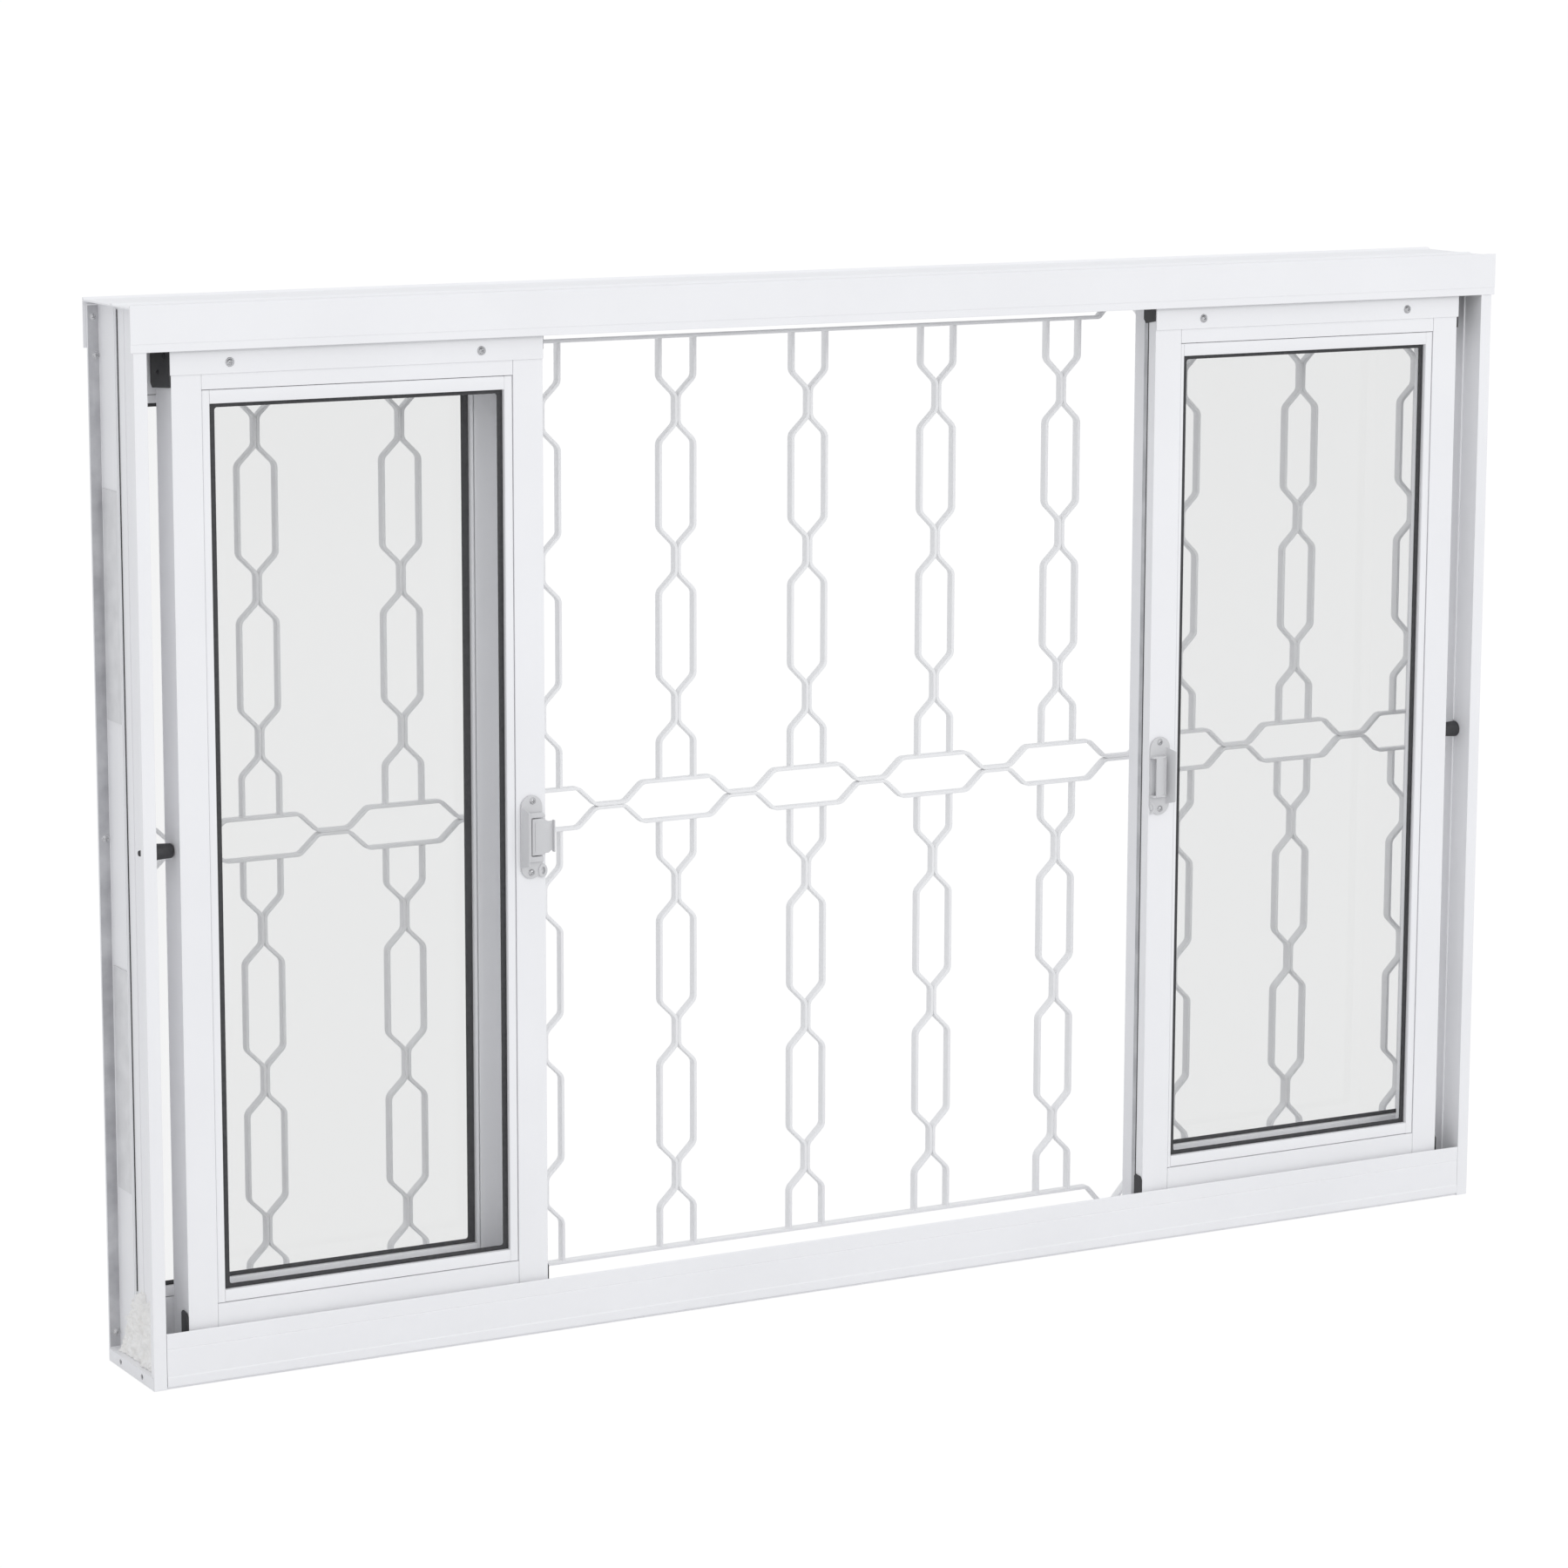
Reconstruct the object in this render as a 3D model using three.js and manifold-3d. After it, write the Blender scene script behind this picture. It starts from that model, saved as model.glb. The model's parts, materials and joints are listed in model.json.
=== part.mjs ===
// A four-leaf sliding window unit with a fixed security grille behind it.
// Millimetres. X is the width, +Y goes from the room side to the grille side, +Z is up.
// The origin is the centre of the base: the sill stands on Z = 0. The pieces are drawn about the middle
// of the frame's depth, and the whole group then moves back, because the latch's grips stand out in front.

import * as THREE from "three";
import { mergeVertices } from "three/addons/utils/BufferGeometryUtils.js";
import Module from "manifold-3d";

const wasm = await Module();
wasm.setup();

// ---------------------------------------------------------------- driving dimensions

const WIDTH = 1500; // over the head
const HEIGHT = 1000;
const DEPTH = 118; // over the head's two flanges
const WALL = 1.4; // extruded aluminium
const FIT = 0.3; // clearance between neighbouring pieces

// Outer frame
const JAMB_OUTSIDE = 747.2; // the head laps over the jambs by the rest
const JAMB_WEB = 734.4; // room face of the jamb's web
const FRONT = -57.3; // room face of the jambs and the sill
const BACK = 57.3;
const JAMB_TOP = 994;
const HEAD_WEB = 996.6;
const HEAD_FRONT_DROP = 958;
const HEAD_BACK_DROP = 954;
const HEAD_FIN_TIP = 961;
const SILL_BASE = 12;
const SILL_LIP = 53;
const RAIL_TOP = 24; // top of the track that the rollers run on

// Sliding leaves, given for the leaf at +X standing open
const SASH_FRONT = -50;
const SASH_BACK = -29;
const SASH_MIDDLE = (SASH_FRONT + SASH_BACK) / 2;
const SASH_INSIDE = 339.5; // edge that meets the other leaf
const SASH_OUTSIDE = 709;
const MEETING_STILE = 30.5;
const OUTER_STILE = 29;
const SASH_BOTTOM = 30;
const STILE_TOP = 957.5;
const SASH_TOP = 975;
const TOP_RAIL_EDGE = 922;
const BOTTOM_RAIL_EDGE = 73;
const COVER_EDGE = 936;
const SASH_BEAD = { side: 8.5, top: 13, bottom: 12 };
const GASKET_LIP = 4; // how far a gasket shows beyond its bead

// Fixed leaves
const LEAF_FRONT = -1;
const LEAF_BACK = 22;
const LEAF_INSIDE = 362;
const LEAF_INNER_STILE = 25;
const LEAF_OUTER_STILE = 13.9;
const LEAF_OUTSIDE = JAMB_WEB - 0.5;
const LEAF_BOTTOM = SILL_BASE + FIT;
const LEAF_TOP = 989;
const LEAF_TOP_EDGE = 915;
const LEAF_BOTTOM_EDGE = 71;
const LEAF_BEAD = { side: 5, top: 8, bottom: 10 };
const GLASS = 4;

// Rollers
const ROLLER_GROOVE = 8;
const ROLLER_RIM = 10;
const ROLLER_BORE = 2.1;
const AXLE = 2;
const AXLE_HEIGHT = RAIL_TOP + ROLLER_GROOVE + 0.4;

// Bumpers and latch
const BUMPER_Y = -32;
const BUMPER_Z = 501;
const LATCH_Z = 485;
const LATCH_LENGTH = 80;
const LATCH_FRONT = -58.6;
const GRIP_FRONT = -65; // free edges of the two finger grips
const DEPTH_SHIFT = -(GRIP_FRONT + DEPTH / 2) / 2;

// Grille of flat bar
const BAR = 3.2;
const GRILLE_FRONT = 47.4;
const GRILLE_BACK = 56.9;
const PITCH = 146.6;
const LINK_HALF = 18.9; // from a column's centre to the middle of its strand
const CROSSING_HALF = 1.5;
const TOP_BAR = 942;
const BOTTOM_BAR = 34.5;
const CHAIN_HIGH = 507.4;
const CHAIN_LOW = 468.3;

// ---------------------------------------------------------------- materials

const paint = new THREE.MeshStandardMaterial({ color: 0xebebed, roughness: 0.42, metalness: 0 });
const grillePaint = new THREE.MeshStandardMaterial({ color: 0xe4e4e6, roughness: 0.5, metalness: 0 });
const latchPaint = new THREE.MeshStandardMaterial({ color: 0xd6d6d8, roughness: 0.4, metalness: 0.2 });
const glassMaterial = new THREE.MeshStandardMaterial({
  color: 0xdfe3e3,
  roughness: 0.05,
  metalness: 0,
  transparent: true,
  opacity: 0.35,
});
const rubber = new THREE.MeshStandardMaterial({ color: 0x3a3a3d, roughness: 0.8, metalness: 0 });
const plastic = new THREE.MeshStandardMaterial({ color: 0x2b2b2e, roughness: 0.55, metalness: 0 });
const nylon = new THREE.MeshStandardMaterial({ color: 0xdcdad2, roughness: 0.5, metalness: 0 });
const bareMetal = new THREE.MeshStandardMaterial({ color: 0xd9d9da, roughness: 0.5, metalness: 0.6 });

// ---------------------------------------------------------------- geometry helpers

const root = new THREE.Group();

function addPart(name, geometry, material) {
  const mesh = new THREE.Mesh(geometry, material);
  mesh.name = name;
  root.add(mesh);
}

// A closed outline as a THREE.Shape, with optional holes.
function shapeOf(outline, holes = []) {
  const shape = new THREE.Shape(outline.map(([a, b]) => new THREE.Vector2(a, b)));
  for (const hole of holes) shape.holes.push(new THREE.Path(hole.map(([a, b]) => new THREE.Vector2(a, b))));
  return shape;
}

function extrude(outline, holes, length) {
  return new THREE.ExtrudeGeometry(shapeOf(outline, holes), { depth: length, bevelEnabled: false });
}

// Outline in (y, z), extruded along X.
function alongX(outline, low, high, holes = []) {
  const turn = new THREE.Matrix4().makeBasis(
    new THREE.Vector3(0, 1, 0),
    new THREE.Vector3(0, 0, 1),
    new THREE.Vector3(1, 0, 0),
  );
  return extrude(outline, holes, high - low).applyMatrix4(turn).translate(low, 0, 0);
}

// Outline in (x, z), extruded along Y.
function alongY(outline, low, high, holes = []) {
  const turn = new THREE.Matrix4().makeBasis(
    new THREE.Vector3(1, 0, 0),
    new THREE.Vector3(0, 0, 1),
    new THREE.Vector3(0, -1, 0),
  );
  return extrude(outline, holes, high - low).applyMatrix4(turn).translate(0, high, 0);
}

// Outline in (x, y), extruded along Z.
function alongZ(outline, low, high, holes = []) {
  return extrude(outline, holes, high - low).translate(0, 0, low);
}

function rectangle(left, right, low, high) {
  return [
    [left, low],
    [right, low],
    [right, high],
    [left, high],
  ];
}

function block(x, y, z) {
  return alongZ(rectangle(x[0], x[1], y[0], y[1]), z[0], z[1]);
}

// Points of an arc from one angle to another, in degrees.
function arc(a, b, radius, from, to, steps) {
  return Array.from({ length: steps + 1 }, (_, i) => {
    const angle = THREE.MathUtils.degToRad(from + ((to - from) * i) / steps);
    return [a + radius * Math.cos(angle), b + radius * Math.sin(angle)];
  });
}

function circle(a, b, radius, sides) {
  return arc(a, b, radius, 0, 360 - 360 / sides, sides - 1);
}

function solidOf(geometry) {
  const bare = geometry.clone();
  bare.deleteAttribute("normal");
  bare.deleteAttribute("uv");
  const merged = mergeVertices(bare, 1e-4);
  return new wasm.Manifold(
    new wasm.Mesh({
      numProp: 3,
      vertProperties: merged.attributes.position.array,
      triVerts: new Uint32Array(merged.index.array),
    }),
  );
}

function geometryOf(solid) {
  const mesh = solid.getMesh();
  return new THREE.BufferGeometry()
    .setAttribute("position", new THREE.BufferAttribute(mesh.vertProperties, 3))
    .setIndex(new THREE.BufferAttribute(mesh.triVerts, 1));
}

function join(...geometries) {
  return geometryOf(geometries.map(solidOf).reduce((sum, piece) => sum.add(piece)));
}

function cut(geometry, ...tools) {
  return geometryOf(tools.map(solidOf).reduce((rest, tool) => rest.subtract(tool), solidOf(geometry)));
}

// The same piece for the other side of the window.
function mirrored(geometry) {
  const copy = geometry.index ? geometry.toNonIndexed() : geometry.clone();
  const position = copy.attributes.position;
  const corners = [0, 1, 2].map(() => new THREE.Vector3());
  for (let i = 0; i < position.count; i += 3) {
    corners.forEach((corner, k) => corner.fromBufferAttribute(position, i + k));
    corners.reverse().forEach((corner, k) => position.setXYZ(i + k, -corner.x, corner.y, corner.z));
    corners.reverse();
  }
  return new THREE.BufferGeometry().setAttribute("position", position);
}

// A rectangular ring with mitred corners. Boxes are {left, right, low, high} in X and Z; each section
// point is [share, y], where share 0 lies on the outer box and 1 on the inner box.
function mitredRing(outer, inner, section) {
  const mix = (share, key) => outer[key] + (inner[key] - outer[key]) * share;
  const corners = [
    ["left", "low"],
    ["right", "low"],
    ["right", "high"],
    ["left", "high"],
  ];
  const points = corners.flatMap(([sideX, sideZ]) =>
    section.map(([share, y]) => [mix(share, sideX), y, mix(share, sideZ)]),
  );
  const count = section.length;
  const index = [];
  for (let corner = 0; corner < 4; corner++) {
    for (let i = 0; i < count; i++) {
      const next = (i + 1) % count;
      const a = corner * count;
      const b = ((corner + 1) % 4) * count;
      index.push(a + i, b + i, b + next, a + i, b + next, a + next);
    }
  }
  return new THREE.BufferGeometry()
    .setAttribute("position", new THREE.Float32BufferAttribute(points.flat(), 3))
    .setIndex(index);
}

// A channel section, open towards the glass, for mitredRing.
function channelSection(front, back, lip, webShare) {
  return [
    [0, front],
    [1, front],
    [1, front + lip],
    [webShare, front + lip],
    [webShare, back - lip],
    [1, back - lip],
    [1, back],
    [0, back],
  ];
}

function grown(box, by) {
  return { left: box.left - by, right: box.right + by, low: box.low - by, high: box.high + by };
}

function shrunk(box, edges) {
  return {
    left: box.left + edges.side,
    right: box.right - edges.side,
    low: box.low + edges.bottom,
    high: box.high - edges.top,
  };
}

// Both sides of the window from one geometry made at +X.
function addPair(name, geometry, material) {
  addPart("right_" + name, geometry, material);
  addPart("left_" + name, mirrored(geometry), material);
}

// ---------------------------------------------------------------- outer frame

// Fins on either side of the fixed leaves, used by the head, the sill and the jambs.
const POCKET_FINS = [LEAF_FRONT - 1.4, LEAF_BACK + 1.4];
const JAMB_FIN = 6;
const FIN_HALF = JAMB_WEB - JAMB_FIN - FIT; // half length of the head's and the sill's fins

function head() {
  const half = DEPTH / 2;
  const ridge = -13;
  const under = [
    [-half, HEIGHT],
    [-half, 966],
    [-half + 0.5, 965],
    [-half + 0.5, HEAD_FRONT_DROP + 0.4],
    [-half + 0.8, HEAD_FRONT_DROP],
    [-half + WALL, HEAD_FRONT_DROP],
    [-half + WALL, HEAD_WEB],
    [half - WALL, HEAD_WEB],
    [half - WALL, HEAD_BACK_DROP],
    [half, HEAD_BACK_DROP],
    [half, HEIGHT],
  ];
  const top = [
    [half - WALL, HEIGHT],
    [half - 4, HEAD_WEB + WALL],
    [ridge + 4, HEAD_WEB + WALL],
    [ridge + 1.5, HEAD_WEB + WALL + 1.2],
    [ridge - 1.5, HEAD_WEB + WALL + 1.2],
    [ridge - 4, HEAD_WEB + WALL],
    [-half + 4, HEAD_WEB + WALL],
    [-half + WALL, HEIGHT],
  ];
  const channel = alongX([...under, ...top], -WIDTH / 2, WIDTH / 2);
  const fins = [SASH_MIDDLE, ...POCKET_FINS].map((y) =>
    block([-FIN_HALF, FIN_HALF], [y - WALL / 2, y + WALL / 2], [HEAD_FIN_TIP, HEAD_WEB + 0.2]),
  );
  return join(channel, ...fins);
}

function sill() {
  const front = FRONT + 1.8;
  const hollow = rectangle(front + WALL, BACK - WALL, WALL, SILL_BASE - WALL);
  const base = alongX(rectangle(front, BACK, 0, SILL_BASE), -JAMB_OUTSIDE, JAMB_OUTSIDE, [hollow]);
  const face = [
    [FRONT - 0.5, 2.5],
    [front + 0.3, 2.5],
    [front + 0.3, 47],
    [front + 0.6, 48],
    [front + 0.6, SILL_LIP - 0.8],
    [front, SILL_LIP],
    [FRONT + 0.6, SILL_LIP],
    [FRONT, SILL_LIP - 0.8],
    [FRONT, 38.6],
    [FRONT + 0.5, 38],
    [FRONT, 37.4],
    [FRONT, 12],
    [FRONT - 0.5, 11],
  ];
  const faceHalf = JAMB_WEB - 0.4;
  const fins = [
    [SASH_MIDDLE, RAIL_TOP, 2],
    [POCKET_FINS[0], 28, WALL],
    [POCKET_FINS[1], 22, WALL],
  ].map(([y, top, thickness]) =>
    block([-FIN_HALF, FIN_HALF], [y - thickness / 2, y + thickness / 2], [SILL_BASE - 0.2, top]),
  );
  const screwHoles = [-26, 28].map((y) => circle(y, 6, 2.8, 10));
  const ends = [-1, 1].map((side) => {
    const inside = side * (JAMB_OUTSIDE - 1.6);
    const outside = side * JAMB_OUTSIDE;
    const plate = rectangle(front, BACK, 0, SILL_BASE);
    return alongX(plate, Math.min(inside, outside), Math.max(inside, outside), screwHoles);
  });
  return join(base, alongX(face, -faceHalf, faceHalf), ...fins, ...ends);
}

// The jamb at +X: a channel open outwards, its front flange reaching down to the floor.
function jamb() {
  const web = JAMB_WEB + WALL;
  const outward = (y, reach, thickness) => [
    [web, y - thickness / 2],
    [web + reach, y - thickness / 2],
    [web + reach, y + thickness / 2],
    [web, y + thickness / 2],
  ];
  const inward = (y, reach, thickness) => [
    [JAMB_WEB, y + thickness / 2],
    [JAMB_WEB - reach, y + thickness / 2],
    [JAMB_WEB - reach, y - thickness / 2],
    [JAMB_WEB, y - thickness / 2],
  ];
  const outline = [
    [JAMB_WEB, FRONT],
    [JAMB_OUTSIDE, FRONT],
    [JAMB_OUTSIDE, FRONT + 7],
    [JAMB_OUTSIDE - WALL, FRONT + 7],
    [JAMB_OUTSIDE - WALL, FRONT + WALL],
    [web, FRONT + WALL],
    ...outward(-6, 0.8, 3),
    ...outward(9.9, 2.5, 1.2),
    ...outward(12.3, 2.5, 1.2),
    [web, BACK - WALL],
    [JAMB_OUTSIDE, BACK - WALL],
    [JAMB_OUTSIDE, BACK],
    [JAMB_WEB, BACK],
    ...inward(POCKET_FINS[1], JAMB_FIN, WALL),
    ...inward(POCKET_FINS[0], JAMB_FIN, WALL),
    ...inward(-29.5, 1.5, 1.5),
  ];
  const channel = alongZ(outline, SILL_BASE + FIT, JAMB_TOP);
  const foot = block([JAMB_WEB, JAMB_OUTSIDE], [FRONT, FRONT + WALL], [0, SILL_BASE + 1]);
  const bumperSeat = alongX(circle(BUMPER_Y, BUMPER_Z, 9, 12), JAMB_WEB - 3, JAMB_WEB);
  const tailHole = alongX(circle(BUMPER_Y, BUMPER_Z, 3.9, 12), JAMB_WEB - 3, web + 1);
  return cut(join(channel, foot), bumperSeat, tailHole);
}

// Rubber stop: a blunt cone with a tail pulled through the jamb's web.
function bumper() {
  const profile = [
    [0, -24.5],
    [5.8, -24.5],
    [6.8, -23.5],
    [8.25, 0],
    [3.4, 0],
    [3.4, 3.5],
    [2.6, 8],
    [0, 8],
  ];
  const turned = new THREE.LatheGeometry(
    profile.map(([radius, along]) => new THREE.Vector2(radius, along)),
    16,
  );
  return turned.rotateZ(-Math.PI / 2).translate(JAMB_WEB - FIT, BUMPER_Y, BUMPER_Z);
}

// ---------------------------------------------------------------- leaves

// Bead, gasket and pane that fill the space between a leaf's stiles and rails.
function addGlazing(prefix, space, beadEdges, front, back) {
  const beadInside = shrunk(space, beadEdges);
  const paneEdge = grown(beadInside, 2);
  const opening = grown(beadInside, -GASKET_LIP);
  const middle = (front + back) / 2;
  const slot = (GLASS / 2 + 0.3) * 2;
  const gasketFront = front + WALL + FIT;
  const gasketBack = back - WALL - FIT;
  const bead = mitredRing(grown(space, -FIT), beadInside, channelSection(front, back, WALL, 0.16));
  const legs = (gasketBack - gasketFront - slot) / 2;
  const hidden = 3; // the gasket's height inside the bead
  const web = 0.7 / (hidden + GASKET_LIP);
  const flush = hidden / (hidden + GASKET_LIP); // the leg behind the pane ends level with the bead
  const gasket = mitredRing(grown(beadInside, hidden), opening, [
    [0, gasketFront],
    [1, gasketFront],
    [1, gasketFront + legs],
    [web, gasketFront + legs],
    [web, gasketBack - legs],
    [flush, gasketBack - legs],
    [flush, gasketBack],
    [0, gasketBack],
  ]);
  const pane = alongY(
    rectangle(paneEdge.left, paneEdge.right, paneEdge.low, paneEdge.high),
    middle - GLASS / 2,
    middle + GLASS / 2,
  );
  addPair(prefix + "glazing_bead", bead, paint);
  addPair(prefix + "glass_gasket", gasket, rubber);
  addPair(prefix + "glass", pane, glassMaterial);
}

function tube(outline, low, high, hollow) {
  return alongZ(outline, low, high, [hollow]);
}

function addFixedLeaves() {
  const innerEdge = LEAF_INSIDE + LEAF_INNER_STILE;
  const outerEdge = LEAF_OUTSIDE - LEAF_OUTER_STILE;
  const hook = [
    [LEAF_INSIDE, LEAF_FRONT - 21],
    [LEAF_INSIDE + 5.4, LEAF_FRONT - 21],
    [LEAF_INSIDE + 5.4, LEAF_FRONT - 21 + WALL],
    [LEAF_INSIDE + WALL, LEAF_FRONT - 21 + WALL],
    [LEAF_INSIDE + WALL, LEAF_FRONT],
  ];
  const innerOutline = [...hook, [innerEdge, LEAF_FRONT], [innerEdge, LEAF_BACK], [LEAF_INSIDE, LEAF_BACK]];
  const hollow = (left, right) => rectangle(left + WALL, right - WALL, LEAF_FRONT + WALL, LEAF_BACK - WALL);
  const inner = tube(innerOutline, LEAF_BOTTOM, LEAF_TOP, hollow(LEAF_INSIDE, innerEdge));
  // The hook stops short of the sill's and the head's fins.
  const reach = [LEAF_INSIDE - 1, LEAF_INSIDE + 8];
  const hookBand = [LEAF_FRONT - 25, LEAF_FRONT - 0.01];
  const trimmed = cut(inner, block(reach, hookBand, [0, 32]), block(reach, hookBand, [955, HEIGHT]));
  addPair("fixed_inner_stile", trimmed, paint);

  const outerOutline = rectangle(outerEdge, LEAF_OUTSIDE, LEAF_FRONT, LEAF_BACK);
  addPair(
    "fixed_outer_stile",
    tube(outerOutline, LEAF_BOTTOM, LEAF_TOP, hollow(outerEdge, LEAF_OUTSIDE)),
    paint,
  );

  const rails = [
    ["fixed_top_rail", LEAF_TOP_EDGE, LEAF_TOP],
    ["fixed_bottom_rail", LEAF_BOTTOM, LEAF_BOTTOM_EDGE],
  ];
  for (const [name, low, high] of rails) {
    const outline = rectangle(LEAF_FRONT, LEAF_BACK, low, high);
    const inside = rectangle(LEAF_FRONT + WALL, LEAF_BACK - WALL, low + WALL, high - WALL);
    addPair(name, alongX(outline, innerEdge + FIT, outerEdge - FIT, [inside]), paint);
  }
  const space = { left: innerEdge, right: outerEdge, low: LEAF_BOTTOM_EDGE, high: LEAF_TOP_EDGE };
  addGlazing("fixed_", space, LEAF_BEAD, LEAF_FRONT + 0.8, LEAF_BACK - 2);
}

// Nylon guide at the top corner of a sliding leaf: a head slotted over the guide fin, and a side plate.
function topGuide(stile, plate, plateBottom, plateBack) {
  const head = block(stile, [SASH_FRONT + 2, SASH_BACK - 2], [STILE_TOP + FIT, SASH_TOP - 1]);
  const slot = block(
    [stile[0] - 5, stile[1] + 5],
    [SASH_MIDDLE - 1.7, SASH_MIDDLE + 1.7],
    [959, SASH_TOP + 1],
  );
  const outline = [
    [SASH_FRONT, plateBottom + 3],
    [plateBack - 4, plateBottom],
    [plateBack, plateBottom + 4],
    [plateBack, STILE_TOP],
    [SASH_BACK - 2, STILE_TOP],
    [SASH_BACK - 2, STILE_TOP + 6],
    [SASH_FRONT + 2, STILE_TOP + 6],
    [SASH_FRONT + 2, STILE_TOP],
    [SASH_FRONT, STILE_TOP],
  ];
  const side = alongX(outline, plate[0], plate[1]);
  const bridge = block(
    [Math.min(plate[0], stile[0]), Math.max(plate[1], stile[1])],
    [SASH_FRONT + 2, SASH_BACK - 2],
    [STILE_TOP + FIT, STILE_TOP + 1.4],
  );
  return cut(join(head, side, bridge), slot);
}

// Roller carriage at a bottom corner: two cheeks with the axle between them, a foot under the stile
// and a plate on the stile's edge. `inward` is +1 where the rail lies at larger x than the stile.
function carriage(stile, plate, inward) {
  const railEdge = inward > 0 ? stile[1] : stile[0];
  const cheek = [railEdge + inward * 0.6, railEdge + inward * 34].sort((a, b) => a - b);
  const cheeks = [-6, 6].map((offset) =>
    block(cheek, [SASH_MIDDLE + offset - 0.75, SASH_MIDDLE + offset + 0.75], [27, 44]),
  );
  const roof = block(cheek, [SASH_MIDDLE - 6.7, SASH_MIDDLE + 6.7], [43, 45]);
  const pin = circle(axleX(railEdge, inward), AXLE_HEIGHT, AXLE, 20);
  const axle = alongY(pin, SASH_MIDDLE - 6, SASH_MIDDLE + 6);
  const footSpan = [...plate, railEdge + inward * 3];
  const foot = block(
    [Math.min(...footSpan), Math.max(...footSpan)],
    [SASH_MIDDLE - 7.5, SASH_MIDDLE + 7.5],
    [RAIL_TOP + 1.4, SASH_BOTTOM - FIT],
  );
  const edge = alongX(
    [
      [SASH_FRONT, RAIL_TOP + 1.4],
      [SASH_FRONT + 14, RAIL_TOP + 1.4],
      [SASH_FRONT + 14, 66],
      [SASH_FRONT + 11.5, 68.5],
      [SASH_FRONT + 3, 67.5],
      [SASH_FRONT, 64],
    ],
    plate[0],
    plate[1],
  );
  return join(...cheeks, roof, axle, foot, edge);
}

function axleX(railEdge, inward) {
  return railEdge + inward * 18;
}

function roller(x) {
  const half = 3.5;
  const profile = [
    [ROLLER_BORE, -half],
    [ROLLER_RIM, -half],
    [ROLLER_RIM, -half + 1],
    [ROLLER_GROOVE, -1.4],
    [ROLLER_GROOVE, 1.4],
    [ROLLER_RIM, half - 1],
    [ROLLER_RIM, half],
    [ROLLER_BORE, half],
    [ROLLER_BORE, -half],
  ];
  const turned = new THREE.LatheGeometry(
    profile.map(([radius, along]) => new THREE.Vector2(radius, along)),
    20,
  );
  return turned.translate(x, SASH_MIDDLE, AXLE_HEIGHT);
}

function addSlidingLeaves() {
  const meetingEdge = SASH_INSIDE + MEETING_STILE;
  const outerEdge = SASH_OUTSIDE - OUTER_STILE;
  const hollow = (left, right) => rectangle(left + WALL, right - WALL, SASH_FRONT + WALL, SASH_BACK - WALL);

  const meeting = rectangle(SASH_INSIDE, meetingEdge, SASH_FRONT, SASH_BACK);
  addPair("meeting_stile", tube(meeting, SASH_BOTTOM, STILE_TOP, hollow(SASH_INSIDE, meetingEdge)), paint);

  const hookBack = -13.7;
  const outer = [
    [outerEdge, SASH_FRONT],
    [SASH_OUTSIDE, SASH_FRONT],
    [SASH_OUTSIDE, hookBack],
    [SASH_OUTSIDE - 5.4, hookBack],
    [SASH_OUTSIDE - 5.4, hookBack - WALL],
    [SASH_OUTSIDE - WALL, hookBack - WALL],
    [SASH_OUTSIDE - WALL, SASH_BACK],
    [outerEdge, SASH_BACK],
  ];
  addPair("outer_stile", tube(outer, SASH_BOTTOM, STILE_TOP, hollow(outerEdge, SASH_OUTSIDE)), paint);

  const topRail = [
    [SASH_FRONT, TOP_RAIL_EDGE],
    [SASH_BACK, TOP_RAIL_EDGE],
    [SASH_BACK, SASH_TOP],
    [SASH_BACK - WALL, SASH_TOP],
    [SASH_BACK - WALL, TOP_RAIL_EDGE + WALL],
    [SASH_FRONT + WALL, TOP_RAIL_EDGE + WALL],
    [SASH_FRONT + WALL, SASH_TOP],
    [SASH_FRONT, SASH_TOP],
  ];
  addPair("top_rail", alongX(topRail, meetingEdge + FIT, outerEdge - FIT), paint);

  const bottomRail = [
    [SASH_FRONT, SASH_BOTTOM],
    [SASH_FRONT + WALL, SASH_BOTTOM],
    [SASH_FRONT + WALL, BOTTOM_RAIL_EDGE - WALL],
    [SASH_BACK - WALL, BOTTOM_RAIL_EDGE - WALL],
    [SASH_BACK - WALL, SASH_BOTTOM],
    [SASH_BACK, SASH_BOTTOM],
    [SASH_BACK, BOTTOM_RAIL_EDGE],
    [SASH_FRONT, BOTTOM_RAIL_EDGE],
  ];
  addPair("bottom_rail", alongX(bottomRail, meetingEdge + FIT, outerEdge - FIT), paint);

  const cover = [
    [SASH_FRONT - FIT - 1.2, COVER_EDGE],
    [SASH_FRONT - FIT, COVER_EDGE],
    [SASH_FRONT - FIT, SASH_TOP],
    [SASH_FRONT - FIT - 1.2, SASH_TOP],
  ];
  addPair("top_cover", alongX(cover, SASH_INSIDE, SASH_OUTSIDE + 1.2), paint);

  const space = { left: meetingEdge, right: outerEdge, low: BOTTOM_RAIL_EDGE, high: TOP_RAIL_EDGE };
  addGlazing("", space, SASH_BEAD, SASH_FRONT + 0.8, SASH_BACK - 2);

  const innerPlate = [SASH_INSIDE - 1, SASH_INSIDE - FIT];
  const outerPlate = [SASH_OUTSIDE + FIT, SASH_OUTSIDE + 2];
  const meetingStile = [SASH_INSIDE, meetingEdge];
  const outerStile = [outerEdge, SASH_OUTSIDE];
  addPair("inner_guide", topGuide(meetingStile, innerPlate, 942, SASH_BACK), plastic);
  addPair("outer_guide", topGuide(outerStile, outerPlate, 922, -5), plastic);
  addPair("inner_carriage", carriage(meetingStile, innerPlate, 1), plastic);
  addPair("outer_carriage", carriage(outerStile, outerPlate, -1), plastic);
  addPair("inner_roller", roller(axleX(meetingEdge, 1)), nylon);
  addPair("outer_roller", roller(axleX(outerEdge, -1)), nylon);
}

// ---------------------------------------------------------------- latch on the meeting stiles

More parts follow.
